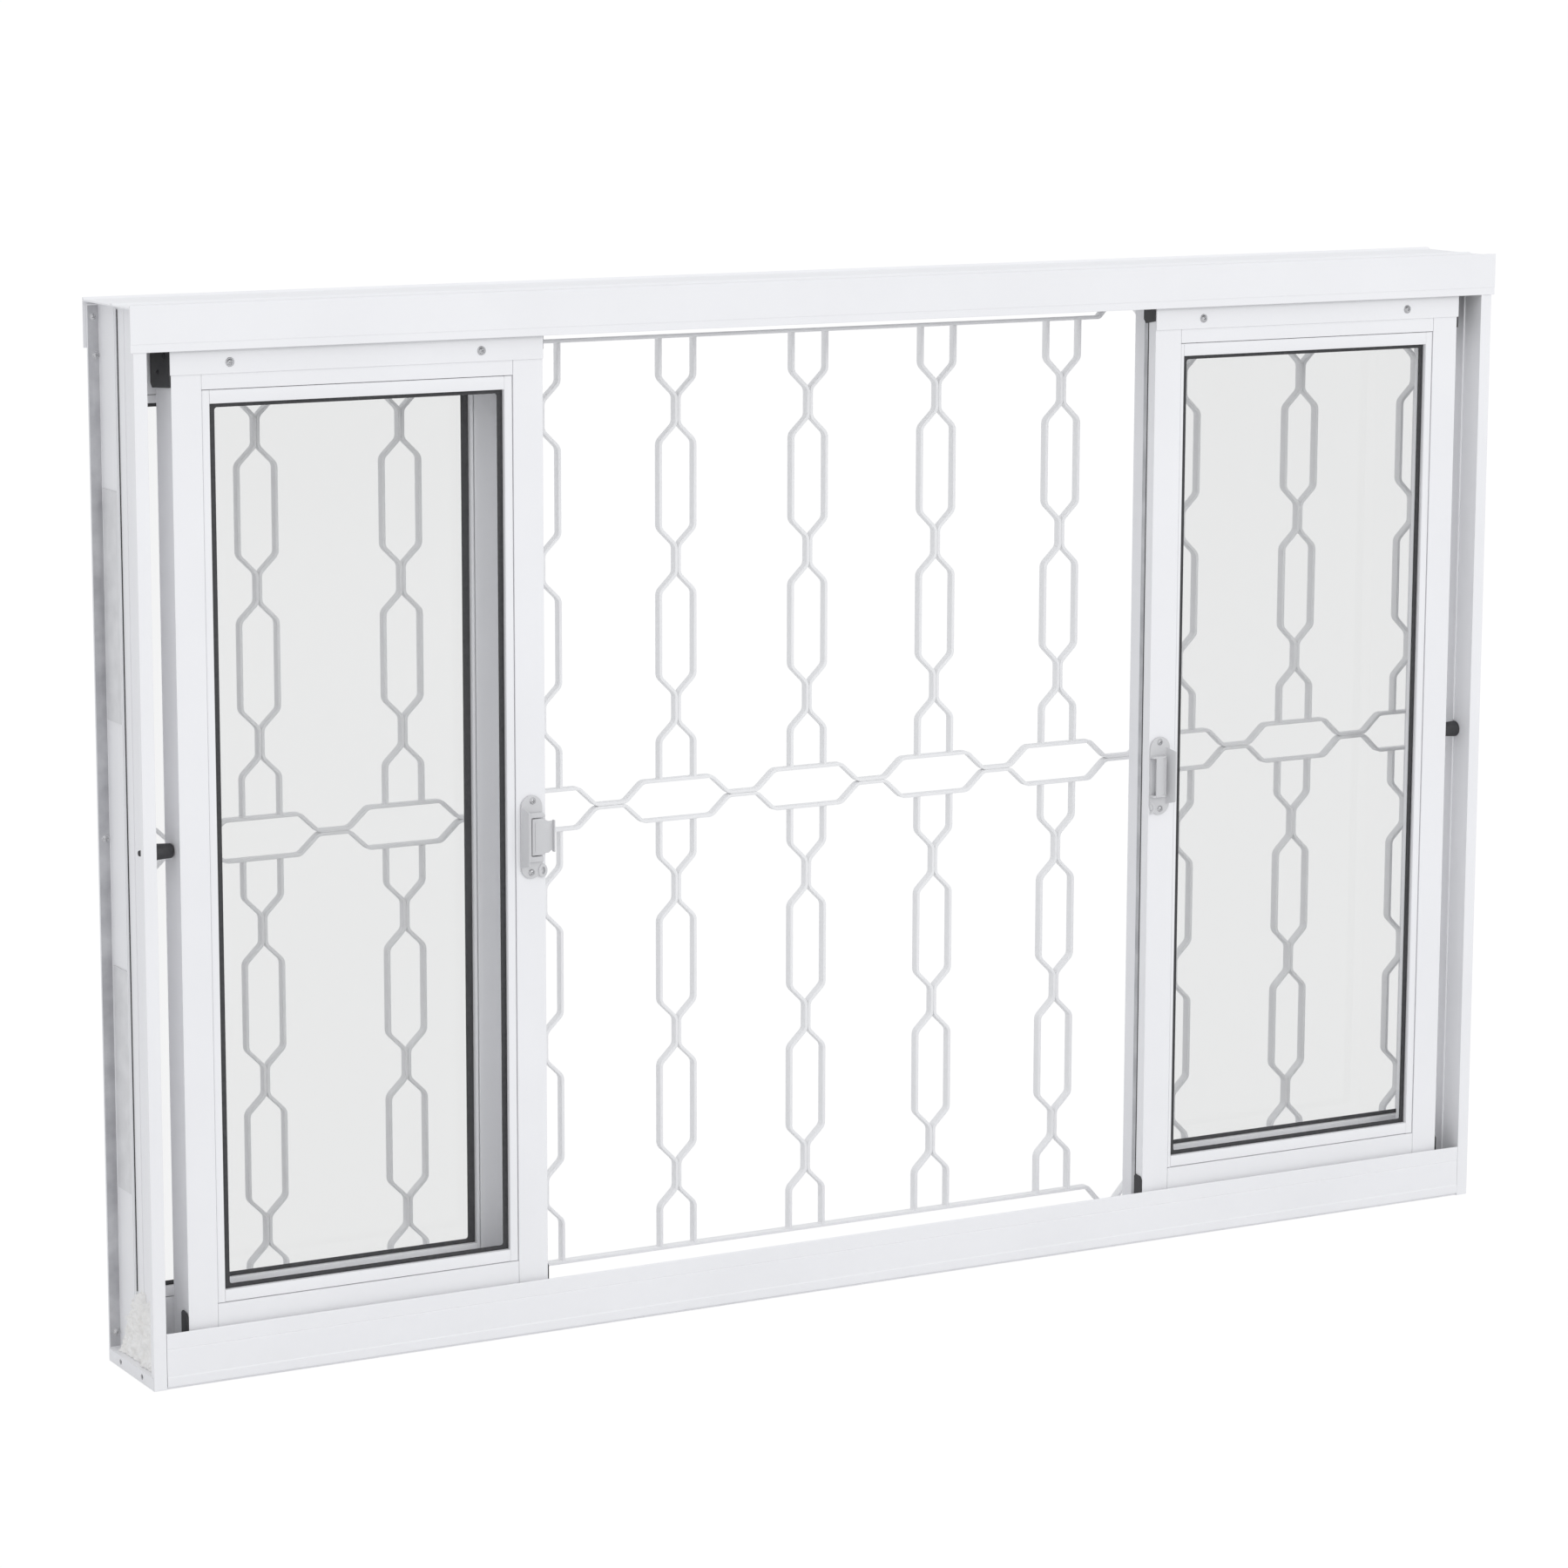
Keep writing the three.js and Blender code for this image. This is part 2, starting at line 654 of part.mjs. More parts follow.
const PLATE_FRONT = SASH_FRONT - 2.3;
const PLATE_BACK = SASH_FRONT - FIT;
const TONGUE_HALF = 17.5;
const WINDOW_HALF = TONGUE_HALF + 1.5;

function backPlate(left, right) {
  const middle = (left + right) / 2;
  const radius = (right - left) / 2;
  const centre = LATCH_LENGTH / 2 - radius;
  const outline = [
    ...arc(middle, LATCH_Z + centre, radius, 0, 180, 8),
    ...arc(middle, LATCH_Z - centre, radius, 180, 360, 8),
  ];
  return alongY(outline, PLATE_FRONT, PLATE_BACK);
}

function latchBody() {
  const left = -365.8;
  const right = -342.2;
  const window = [LATCH_Z - WINDOW_HALF, LATCH_Z + WINDOW_HALF];
  const plate = cut(
    backPlate(left, right),
    block([-352, right + 5], [PLATE_FRONT - 1, PLATE_BACK + 1], window),
  );
  const shoulders = [-1, 1].map((side) => {
    const near = LATCH_Z + side * WINDOW_HALF;
    const far = LATCH_Z + side * (WINDOW_HALF + 6);
    return block(
      [left + 3, right - 1],
      [-56.2, PLATE_FRONT + 0.2],
      [Math.min(near, far), Math.max(near, far)],
    );
  });
  return join(plate, fingerGrip(left, left + WALL), ...shoulders);
}

// A thin wall that stands out from a latch plate, a little shorter at its free edge.
function fingerGrip(left, right) {
  const root = 29;
  const tip = 26;
  const outline = [
    [PLATE_FRONT + 0.2, LATCH_Z - root],
    [PLATE_FRONT + 0.2, LATCH_Z + root],
    [GRIP_FRONT, LATCH_Z + tip],
    [GRIP_FRONT, LATCH_Z - tip],
  ];
  return alongX(outline.reverse(), left, right);
}

// Sprung tongue: a plate hinged beside the grip, its tip bent towards the room.
function latchTongue() {
  const outline = [
    [-358.2, -55.2],
    [-334.2, -55.2],
    [-334.2, -58],
    [-332.8, -58],
    [-332.8, -53.6],
    [-358.2, -53.6],
  ];
  return alongZ(outline, LATCH_Z - TONGUE_HALF, LATCH_Z + TONGUE_HALF);
}

// Keeper: the tongue's tip goes behind the narrow bridge and springs out into the slot.
function keeper() {
  const left = SASH_INSIDE + 0.4;
  const right = 363.2;
  const band = [LATCH_Z - WINDOW_HALF, LATCH_Z + WINDOW_HALF];
  const housing = [LATCH_Z - WINDOW_HALF - 2, LATCH_Z + WINDOW_HALF + 2];
  const plate = cut(backPlate(left, right), block([left - 5, left + 7], [-53, -49], band));
  const box = block([left, left + 15.5], [LATCH_FRONT, PLATE_FRONT + 0.2], housing);
  const inside = block([left - 5, left + 14], [LATCH_FRONT + WALL, PLATE_FRONT + 1], band);
  const slot = block([left + 1.4, left + 4.4], [LATCH_FRONT - 1, LATCH_FRONT + 2], band);
  return join(plate, cut(box, inside, slot), fingerGrip(right - WALL, right));
}

// ---------------------------------------------------------------- security grille

// A bent flat bar whose centre line runs through the given points of the X-Z plane.
function bentBar(points) {
  const count = points.length;
  const offsets = points.map(([x, z], i) => {
    const before = points[Math.max(i - 1, 0)];
    const after = points[Math.min(i + 1, count - 1)];
    const into = new THREE.Vector2(x - before[0], z - before[1]).normalize();
    const out = new THREE.Vector2(after[0] - x, after[1] - z).normalize();
    const tangent = into.add(out).normalize();
    const turn = new THREE.Vector2(after[0] - x, after[1] - z).normalize().dot(tangent) || 1;
    return [(-tangent.y * BAR) / 2 / turn, (tangent.x * BAR) / 2 / turn];
  });
  const right = points.map(([x, z], i) => [x - offsets[i][0], z - offsets[i][1]]);
  const left = points.map(([x, z], i) => [x + offsets[i][0], z + offsets[i][1]]);
  return alongY([...right, ...left.reverse()], GRILLE_FRONT, GRILLE_BACK);
}

const STRAIGHT_HALF = 14; // half of the stretch where two strands run side by side
const SLOPE = 17; // rise of each bend from the crossing out to the link

// One strand of a vertical chain, from a horizontal bar to the middle chain.
function strand(centre, side, start, end, crossings) {
  const far = centre + side * LINK_HALF;
  const near = centre + side * CROSSING_HALF;
  const bends = crossings.flatMap((z) => [
    [far, z - STRAIGHT_HALF - SLOPE],
    [near, z - STRAIGHT_HALF],
    [near, z + STRAIGHT_HALF],
    [far, z + STRAIGHT_HALF + SLOPE],
  ]);
  return bentBar([[far, start], ...bends, [far, end]]);
}

// A comb of chain columns welded to one horizontal bar with turned ends.
function panel(columns, bar, start, end, crossings) {
  const strands = columns.flatMap(({ column, sides }) =>
    sides.map((side) => strand(column * PITCH, side, start, end, crossings)),
  );
  return join(bar, ...strands);
}

const BOTH = [-1, 1];

const HANGER_TOP = 982; // the upper bars' ends reach this high behind the head's rear flange
const FOOT_END = SILL_BASE + 1.6; // the lower bars' ends stop just over the sill

// The turned end of a horizontal bar, going towards +X: up behind the head's rear flange, or down to the sill.
function turnedEnd(x, z, up) {
  const slope = 0.9; // run of the sloping stretch for each millimetre of rise
  if (!up) return [[x + slope * (z - FOOT_END), FOOT_END]];
  const bend = x + slope * 18;
  return [
    [bend, z + 18],
    [bend, HANGER_TOP],
  ];
}

function flipped(points) {
  return points.map(([x, z]) => [-x, z]).reverse();
}

// The bar over the middle columns, turned at both ends.
function middleBar(z, up) {
  const flat = 2.29 * PITCH;
  const half = [[flat, z], ...turnedEnd(flat, z, up)];
  return bentBar([...flipped(half), ...half]);
}

// The bar over a side's columns, from the jamb to its turned end.
function sideBar(z, up) {
  const start = 2.64 * PITCH;
  return bentBar([...flipped([[-start, z], ...turnedEnd(-start, z, up)]), [JAMB_WEB - FIT, z]]);
}

function addGrille() {
  const upper = [578.5, 724.5, 871];
  const lower = [108, 254, 400];
  const middleColumns = [-2, -1, 0, 1, 2].map((column) => ({ column, sides: BOTH }));
  const sideColumns = [
    { column: 3, sides: BOTH },
    { column: 4, sides: BOTH },
    { column: 5, sides: [-1] },
  ];
  const chainTop = CHAIN_HIGH + BAR / 2 + FIT;
  const chainBottom = CHAIN_LOW - BAR / 2 - FIT;
  const halves = [
    ["upper", TOP_BAR, true, chainTop, TOP_BAR, upper],
    ["lower", BOTTOM_BAR, false, BOTTOM_BAR, chainBottom, lower],
  ];
  for (const [half, barHeight, up, start, end, crossings] of halves) {
    const centre = panel(middleColumns, middleBar(barHeight, up), start, end, crossings);
    const side = panel(sideColumns, sideBar(barHeight, up), start, end, crossings);
    addPart("grille_" + half + "_centre", centre, grillePaint);
    addPart("grille_" + half + "_right", side, grillePaint);
    addPart("grille_" + half + "_left", mirrored(side), grillePaint);
  }
  addPart("grille_middle_chain", middleChain(), grillePaint);
}

// Two horizontal strands, welded together midway between the columns.
function middleChain() {
  const middle = (CHAIN_HIGH + CHAIN_LOW) / 2;
  const flatHalf = 38;
  const touchHalf = 16;
  const strands = BOTH.map((side) => {
    const far = side > 0 ? CHAIN_HIGH : CHAIN_LOW;
    const near = middle + side * CROSSING_HALF;
    const points = [[-JAMB_WEB + FIT, far]];
    for (let column = -5; column <= 5; column++) {
      const x = column * PITCH;
      if (column > -5) {
        points.push([x - PITCH / 2 + touchHalf, near]);
        points.push([x - flatHalf, far]);
      }
      if (column < 5) {
        points.push([x + flatHalf, far]);
        points.push([x + PITCH / 2 - touchHalf, near]);
      }
    }
    points.push([JAMB_WEB - FIT, far]);
    return bentBar(points);
  });
  return join(...strands);
}

// ---------------------------------------------------------------- assembly

// Two fixing plates lie in the left jamb's channel, ready for the wall.
function addFixingPlates() {
  const face = JAMB_WEB + WALL + FIT;
  const plates = [
    ["upper_fixing_plate", 14.6, 52, 612, 826],
    ["lower_fixing_plate", 14.6, 50, 169, 381],
  ];
  for (const [name, front, back, low, high] of plates) {
    addPart(name, block([-face - 1, -face], [front, back], [low, high]), bareMetal);
  }
}

addPart("head", head(), paint);
addPart("sill", sill(), paint);
addPair("jamb", jamb(), paint);
addPair("bumper", bumper(), rubber);
addFixingPlates();
addFixedLeaves();
addSlidingLeaves();
addPart("latch_body", latchBody(), latchPaint);
addPart("latch_tongue", latchTongue(), latchPaint);
addPart("latch_keeper", keeper(), latchPaint);
addGrille();
root.position.y = DEPTH_SHIFT;

export default root;
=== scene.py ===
import json
import math

import bmesh
import bpy
from mathutils import Matrix, Vector, noise


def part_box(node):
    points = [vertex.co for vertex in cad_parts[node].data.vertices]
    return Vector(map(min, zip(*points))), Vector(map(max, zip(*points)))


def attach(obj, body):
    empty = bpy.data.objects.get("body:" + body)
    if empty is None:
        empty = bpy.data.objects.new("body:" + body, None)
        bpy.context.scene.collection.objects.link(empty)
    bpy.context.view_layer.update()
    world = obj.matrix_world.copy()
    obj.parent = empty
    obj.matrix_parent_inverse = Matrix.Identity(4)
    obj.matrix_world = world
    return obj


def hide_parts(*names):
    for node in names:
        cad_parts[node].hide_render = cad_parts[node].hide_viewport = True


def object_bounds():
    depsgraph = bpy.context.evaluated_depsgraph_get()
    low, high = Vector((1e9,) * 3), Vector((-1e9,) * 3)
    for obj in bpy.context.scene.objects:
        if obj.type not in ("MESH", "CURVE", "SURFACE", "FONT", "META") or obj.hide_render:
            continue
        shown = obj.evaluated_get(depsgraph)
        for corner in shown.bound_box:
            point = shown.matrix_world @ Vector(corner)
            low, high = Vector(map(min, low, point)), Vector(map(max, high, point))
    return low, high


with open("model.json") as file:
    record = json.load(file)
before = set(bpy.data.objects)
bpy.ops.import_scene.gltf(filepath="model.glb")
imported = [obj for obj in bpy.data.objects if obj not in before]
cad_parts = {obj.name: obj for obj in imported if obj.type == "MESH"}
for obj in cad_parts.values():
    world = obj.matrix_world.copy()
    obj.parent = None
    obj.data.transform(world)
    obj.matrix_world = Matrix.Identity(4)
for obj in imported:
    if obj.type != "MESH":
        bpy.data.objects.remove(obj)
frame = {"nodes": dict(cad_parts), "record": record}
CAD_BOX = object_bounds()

# A four-leaf sliding window with a chain-pattern grille behind it. Lengths are in millimetres until a
# mesh is finished, and X is the width, -Y the room side, +Z up.
MM = 0.001
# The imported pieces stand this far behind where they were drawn.
DEPTH_SHIFT = (CAD_BOX[0].y + CAD_BOX[1].y) / 2 / MM + 3.0
WALL = 1.4
SIDES = {"left": -1, "right": 1}


def span(node):
    """Lowest and highest corner of a CAD node, in millimetres."""
    low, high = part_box(node)
    return low / MM, high / MM


# ---------------------------------------------------------------- materials


def new_material(name):
    material = bpy.data.materials.new(name)
    material.use_nodes = True
    nodes = material.node_tree.nodes
    nodes.clear()
    output = nodes.new("ShaderNodeOutputMaterial")
    return material, nodes, material.node_tree.links, output


def principled(nodes, links, output):
    shader = nodes.new("ShaderNodeBsdfPrincipled")
    links.new(shader.outputs["BSDF"], output.inputs["Surface"])
    return shader


def object_noise(nodes, links, scale, detail=2.0, stretch=(1, 1, 1)):
    """Noise fixed to the piece, as a factor from 0 to 1. Scale is in waves per metre."""
    coordinates = nodes.new("ShaderNodeTexCoord")
    mapping = nodes.new("ShaderNodeMapping")
    mapping.inputs["Scale"].default_value = stretch
    texture = nodes.new("ShaderNodeTexNoise")
    texture.inputs["Scale"].default_value = scale
    texture.inputs["Detail"].default_value = detail
    links.new(coordinates.outputs["Object"], mapping.inputs["Vector"])
    links.new(mapping.outputs["Vector"], texture.inputs["Vector"])
    return texture.outputs["Fac"]


def ramp(nodes, links, source, low, high):
    """Maps the middle of a factor's range onto two colours or grey levels."""
    node = nodes.new("ShaderNodeValToRGB")
    start, end = node.color_ramp.elements
    start.position = 0.3
    end.position = 0.7
    start.color = (*low, 1)
    end.color = (*high, 1)
    links.new(source, node.inputs["Fac"])
    return node.outputs["Color"]


def grey(value):
    return (value, value, value)


def add_bump(nodes, links, shader, height, strength, distance):
    bump = nodes.new("ShaderNodeBump")
    bump.inputs["Strength"].default_value = strength
    bump.inputs["Distance"].default_value = distance
    links.new(height, bump.inputs["Height"])
    links.new(bump.outputs["Normal"], shader.inputs["Normal"])


def powder_coat(name, colour, roughness=0.42, grain=0.12):
    """Satin paint: faint cloudiness, uneven gloss and the orange peel of a sprayed coat."""
    material, nodes, links, output = new_material(name)
    shader = principled(nodes, links, output)
    clouds = object_noise(nodes, links, 9, 3)
    shade = [c * 0.975 for c in colour]
    links.new(ramp(nodes, links, clouds, shade, colour), shader.inputs["Base Color"])
    gloss = object_noise(nodes, links, 160, 2)
    uneven = ramp(nodes, links, gloss, grey(roughness - 0.05), grey(roughness + 0.06))
    links.new(uneven, shader.inputs["Roughness"])
    peel = object_noise(nodes, links, 1100, 2)
    add_bump(nodes, links, shader, peel, grain, 0.0002)
    shader.inputs["IOR"].default_value = 1.48
    return material


def mill_aluminium(name, stain, clean):
    """Bare extrusion: die lines along Z and dull stains."""
    material, nodes, links, output = new_material(name)
    shader = principled(nodes, links, output)
    shader.inputs["Metallic"].default_value = 0.35
    stains = object_noise(nodes, links, 45, 5)
    links.new(
        ramp(nodes, links, stains, stain, clean),
        shader.inputs["Base Color"],
    )
    lines = object_noise(nodes, links, 1500, 2, (1, 1, 0.01))
    links.new(ramp(nodes, links, lines, grey(0.38), grey(0.6)), shader.inputs["Roughness"])
    add_bump(nodes, links, shader, lines, 0.15, 0.0001)
    return material


def zinc_steel():
    """Bright plated screws, a little uneven."""
    material, nodes, links, output = new_material("zinc_steel")
    shader = principled(nodes, links, output)
    shader.inputs["Metallic"].default_value = 1.0
    spots = object_noise(nodes, links, 700, 3)
    links.new(
        ramp(nodes, links, spots, (0.5, 0.5, 0.51), (0.72, 0.72, 0.73)),
        shader.inputs["Base Color"],
    )
    links.new(ramp(nodes, links, spots, grey(0.3), grey(0.2)), shader.inputs["Roughness"])
    return material


def black_rubber():
    material, nodes, links, output = new_material("black_rubber")
    shader = principled(nodes, links, output)
    dust = object_noise(nodes, links, 220, 4)
    links.new(
        ramp(nodes, links, dust, (0.03, 0.03, 0.033), (0.055, 0.055, 0.058)),
        shader.inputs["Base Color"],
    )
    links.new(ramp(nodes, links, dust, grey(0.5), grey(0.68)), shader.inputs["Roughness"])
    add_bump(nodes, links, shader, object_noise(nodes, links, 2600, 2), 0.06, 0.0001)
    return material


def black_plastic():
    """Moulded nylon with a fine spark-eroded texture."""
    material, nodes, links, output = new_material("black_plastic")
    shader = principled(nodes, links, output)
    patches = object_noise(nodes, links, 120, 3)
    links.new(
        ramp(nodes, links, patches, (0.018, 0.018, 0.02), (0.035, 0.035, 0.038)),
        shader.inputs["Base Color"],
    )
    links.new(ramp(nodes, links, patches, grey(0.34), grey(0.48)), shader.inputs["Roughness"])
    add_bump(nodes, links, shader, object_noise(nodes, links, 3200, 2), 0.25, 0.0001)
    return material


def roller_nylon():
    material, nodes, links, output = new_material("roller_nylon")
    shader = principled(nodes, links, output)
    patches = object_noise(nodes, links, 150, 3)
    links.new(
        ramp(nodes, links, patches, (0.62, 0.6, 0.54), (0.74, 0.73, 0.68)),
        shader.inputs["Base Color"],
    )
    links.new(ramp(nodes, links, patches, grey(0.38), grey(0.5)), shader.inputs["Roughness"])
    shader.inputs["Subsurface Weight"].default_value = 0.15
    shader.inputs["Subsurface Scale"].default_value = 0.002
    return material


def window_glass():
    """Float glass: a faint grey tint and mirrored light for the eye, and clear to all other light."""
    material, nodes, links, output = new_material("window_glass")
    through = nodes.new("ShaderNodeBsdfTransparent")
    through.inputs["Color"].default_value = (0.952, 0.953, 0.9525, 1)
    mirror = nodes.new("ShaderNodeBsdfGlossy")
    mirror.inputs["Color"].default_value = (0.6, 0.6, 0.6, 1)
    smudges = object_noise(nodes, links, 14, 4)
    links.new(ramp(nodes, links, smudges, grey(0.0), grey(0.03)), mirror.inputs["Roughness"])
    fresnel = nodes.new("ShaderNodeFresnel")
    fresnel.inputs["IOR"].default_value = 1.45
    side = nodes.new("ShaderNodeNewGeometry")
    front_only = nodes.new("ShaderNodeMath")
    front_only.operation = "SUBTRACT"
    front_only.use_clamp = True
    links.new(fresnel.outputs["Fac"], front_only.inputs[0])
    links.new(side.outputs["Backfacing"], front_only.inputs[1])
    mix = nodes.new("ShaderNodeMixShader")
    links.new(front_only.outputs["Value"], mix.inputs["Fac"])
    links.new(through.outputs["BSDF"], mix.inputs[1])
    links.new(mirror.outputs["BSDF"], mix.inputs[2])
    clear = nodes.new("ShaderNodeBsdfTransparent")
    clear.inputs["Color"].default_value = (1, 1, 1, 1)
    path = nodes.new("ShaderNodeLightPath")
    seen = nodes.new("ShaderNodeMixShader")
    links.new(path.outputs["Is Camera Ray"], seen.inputs["Fac"])
    links.new(clear.outputs["BSDF"], seen.inputs[1])
    links.new(mix.outputs["Shader"], seen.inputs[2])
    links.new(seen.outputs["Shader"], output.inputs["Surface"])
    return material


def sealant():
    """Dried acrylic filler: chalky, slightly warm white, with pits."""
    material, nodes, links, output = new_material("sealant")
    shader = principled(nodes, links, output)
    patches = object_noise(nodes, links, 90, 5)
    links.new(
        ramp(nodes, links, patches, (0.9, 0.885, 0.86), (0.96, 0.955, 0.945)),
        shader.inputs["Base Color"],
    )
    shader.inputs["Roughness"].default_value = 0.75
    add_bump(nodes, links, shader, object_noise(nodes, links, 500, 5), 0.5, 0.0006)
    return material


FRAME_PAINT = powder_coat("frame_paint", (0.925, 0.925, 0.94))
LEAF_PAINT = powder_coat("leaf_paint", (0.925, 0.925, 0.94), 0.4)
GRILLE_PAINT = powder_coat("grille_paint", (0.91, 0.91, 0.915), 0.48, 0.25)
LATCH_PAINT = powder_coat("latch_paint", (0.67, 0.67, 0.68), 0.36, 0.08)
GLASS = window_glass()
RUBBER = black_rubber()
PLASTIC = black_plastic()
NYLON = roller_nylon()
ALUMINIUM = mill_aluminium("mill_aluminium", (0.74, 0.74, 0.75), (0.84, 0.84, 0.85))
# A darker copy of the bare metal: its extra darkness is painted shade, for the rear flanges deep in the
# jamb channels and the gap behind the meeting seal.
PAINTED_SHADE_METAL = mill_aluminium("painted_shade_metal", (0.46, 0.46, 0.48), (0.62, 0.62, 0.635))
STEEL = zinc_steel()
SEALANT = sealant()

SLOT_MATERIAL = {
    "frame_paint": FRAME_PAINT,
    "leaf_paint": LEAF_PAINT,
    "grille_paint": GRILLE_PAINT,
    "latch_paint": LATCH_PAINT,
    "pane_glass": GLASS,
    "black_rubber": RUBBER,
    "black_plastic": PLASTIC,
    "roller_nylon": NYLON,
    "bare_aluminium": ALUMINIUM,
}


# ---------------------------------------------------------------- mesh helpers


def finish_piece(bm, name, body, material, stands_for=(), sharp=35):
    """Turns a millimetre bmesh into a piece that rides on a body."""
    bmesh.ops.remove_doubles(bm, verts=bm.verts, dist=1e-4)
    bmesh.ops.recalc_face_normals(bm, faces=bm.faces)
    bm.transform(Matrix.Scale(MM, 4))
    mesh = bpy.data.meshes.new(name)
    bm.to_mesh(mesh)
    bm.free()
    mesh.materials.append(material)
    mesh.shade_smooth()
    mesh.set_sharp_from_angle(angle=math.radians(sharp))
    piece = bpy.data.objects.new(name, mesh)
    bpy.context.scene.collection.objects.link(piece)
    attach(piece, body)
    if stands_for:
        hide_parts(*stands_for)
    return piece


def sweep(bm, frames, section):
    """Joins copies of a section of (u, v) points, each placed by an (origin, u axis, v axis) frame."""
    rings = [[bm.verts.new(origin + a * u + b * v) for u, v in section] for origin, a, b in frames]
    count = len(section)
    for here, there in zip(rings, rings[1:]):
        for k in range(count):
            m = (k + 1) % count
            bm.faces.new((here[k], here[m], there[m], there[k]))
    bm.faces.new(rings[0][::-1])
    bm.faces.new(rings[-1])


def rounded_outline(points, radius, steps=4):
    """A closed outline with each corner replaced by an arc."""
    count = len(points)
    result = []
    for i, point in enumerate(points):
        before = Vector(points[i - 1])
        here = Vector(point)
        after = Vector(points[(i + 1) % count])
        result += corner_arc(before, here, after, radius, steps)
    return [tuple(p) for p in result]


def corner_arc(before, here, after, radius, steps):
    """Points of the arc that rounds one corner, shortened where its sides are too short."""
    into = (here - before).normalized()
    out = (after - here).normalized()
    angle = into.angle_signed(out)
    if abs(angle) < 1e-4:
        return [here]
    reach = radius * math.tan(abs(angle) / 2)
    most = 0.49  # of a side
    reach = min(reach, (here - before).length * most, (after - here).length * most)
    start = here - into * reach
    real = reach / math.tan(abs(angle) / 2)
    side = -math.copysign(1, angle)
    centre = start + Vector((-into.y, into.x)) * real * side
    arm = start - centre
    arc = []
    for k in range(steps + 1):
        turn = -angle * k / steps
        c = math.cos(turn)
        s = math.sin(turn)
        arc.append(centre + Vector((arm.x * c - arm.y * s, arm.x * s + arm.y * c)))
    return arc


def rounded_path(points, radius, steps=6):
    """An open polyline with its inner corners replaced by arcs."""
    inner = []
    for i in range(1, len(points) - 1):
        before, here, after = (Vector(points[k]) for k in (i - 1, i, i + 1))
        inner += corner_arc(before, here, after, radius, steps)
    return [Vector(points[0]), *inner, Vector(points[-1])]


def rectangle(left, right, low, high):
    return [(left, low), (right, low), (right, high), (left, high)]


def bar_section(thickness, front, back):
    """Section of a flat bar: u across its thickness, v in Y."""
    half = thickness / 2
    edge = 0.5
    return rounded_outline(rectangle(-half, half, front, back), edge, 2)


def flat_bar(bm, points, section, bend):
    """A flat bar bent edgewise in the X-Z plane, along points of (x, z)."""
    path = rounded_path(points, bend)
    frames = []
    for i, point in enumerate(path):
        before = path[max(i - 1, 0)]
        after = path[min(i + 1, len(path) - 1)]
        tangent = (after - before).normalized()
        across = Vector((-tangent.y, 0, tangent.x))
        frames.append((Vector((point.x, 0, point.y)), across, Vector((0, 1, 0))))
    sweep(bm, frames, section)


def upright(bm, outline, heights, corner, steps=2):
    """A strip that stands upright, from its outline in X-Y."""
    section = rounded_outline(outline, corner, steps)
    ends = [Vector((0, 0, z)) for z in heights]
    sweep(bm, [(p, Vector((1, 0, 0)), Vector((0, 1, 0))) for p in ends], section)


def lump(bm, centre, size, seed):
    """An uneven blob, such as a weld bead."""
    rough = 0.18
    made = bmesh.ops.create_icosphere(bm, subdivisions=2, radius=1)
    for vert in made["verts"]:
        swell = 1 + rough * noise.noise(vert.co * 1.7 + Vector((seed * 3.1, seed * 1.7, seed)))
        vert.co = Vector(centre) + Vector(vert.co[k] * size[k] * swell for k in range(3))


def lathe(bm, profile, place, segments=48):
    """Turns (radius, along) points round the local Z axis, then places them by a matrix."""
    rings = []
    for radius, along in profile:
        if radius < 1e-6:
            rings.append([bm.verts.new(place @ Vector((0, 0, along)))])
            continue
        ring = []
        for k in range(segments):
            angle = 2 * math.pi * k / segments
            point = Vector((radius * math.cos(angle), radius * math.sin(angle), along))
            ring.append(bm.verts.new(place @ point))
        rings.append(ring)
    for a, b in zip(rings, rings[1:]):
        for k in range(segments):
            m = (k + 1) % segments
            face = [a[k % len(a)], a[m % len(a)], b[m % len(b)], b[k % len(b)]]
            unique = list(dict.fromkeys(face))
            if len(unique) > 2:
                bm.faces.new(unique)


def slab(bm, outline, holes, place, thickness, edge, steps=2):
    """A flat plate with rounded edges. Outlines are in the local X-Y plane, and it rises along local Z."""
    curve = bpy.data.curves.new("slab", "CURVE")
    curve.dimensions = "2D"
    curve.fill_mode = "BOTH"
    curve.bevel_depth = edge
    curve.offset = -edge
    curve.bevel_resolution = steps
    curve.extrude = thickness / 2 - edge
    for points in [outline, *holes]:
        spline = curve.splines.new("POLY")
        spline.points.add(len(points) - 1)
        for target, (x, y) in zip(spline.points, points):
            target.co = (x, y, 0, 1)
        spline.use_cyclic_u = True
    holder = bpy.data.objects.new("slab", curve)
    bpy.context.scene.collection.objects.link(holder)
    graph = bpy.context.evaluated_depsgraph_get()
    mesh = bpy.data.meshes.new_from_object(holder.evaluated_get(graph))
    bpy.data.objects.remove(holder)
    bpy.data.curves.remove(curve)
    mesh.transform(place @ Matrix.Translation((0, 0, thickness / 2)))
    bm.from_mesh(mesh)
    bpy.data.meshes.remove(mesh)


def facing_room(y):
    """Local X to +X, local Y to +Z, and local Z towards the room, starting from this depth."""
    return Matrix(((1, 0, 0, 0), (0, 0, -1, y), (0, 1, 0, 0), (0, 0, 0, 1)))


def stadium(x, low, high, radius):
    """The upper and the lower half of an upright outline with round ends."""
    steps = 12
    top = [math.pi * k / steps for k in range(steps + 1)]
    upper = [(x + radius * math.cos(a), high - radius + radius * math.sin(a)) for a in top]
    lower = [(x - radius * math.cos(a), low + radius - radius * math.sin(a)) for a in top]
    return upper, lower


# ---------------------------------------------------------------- CAD pieces that stay


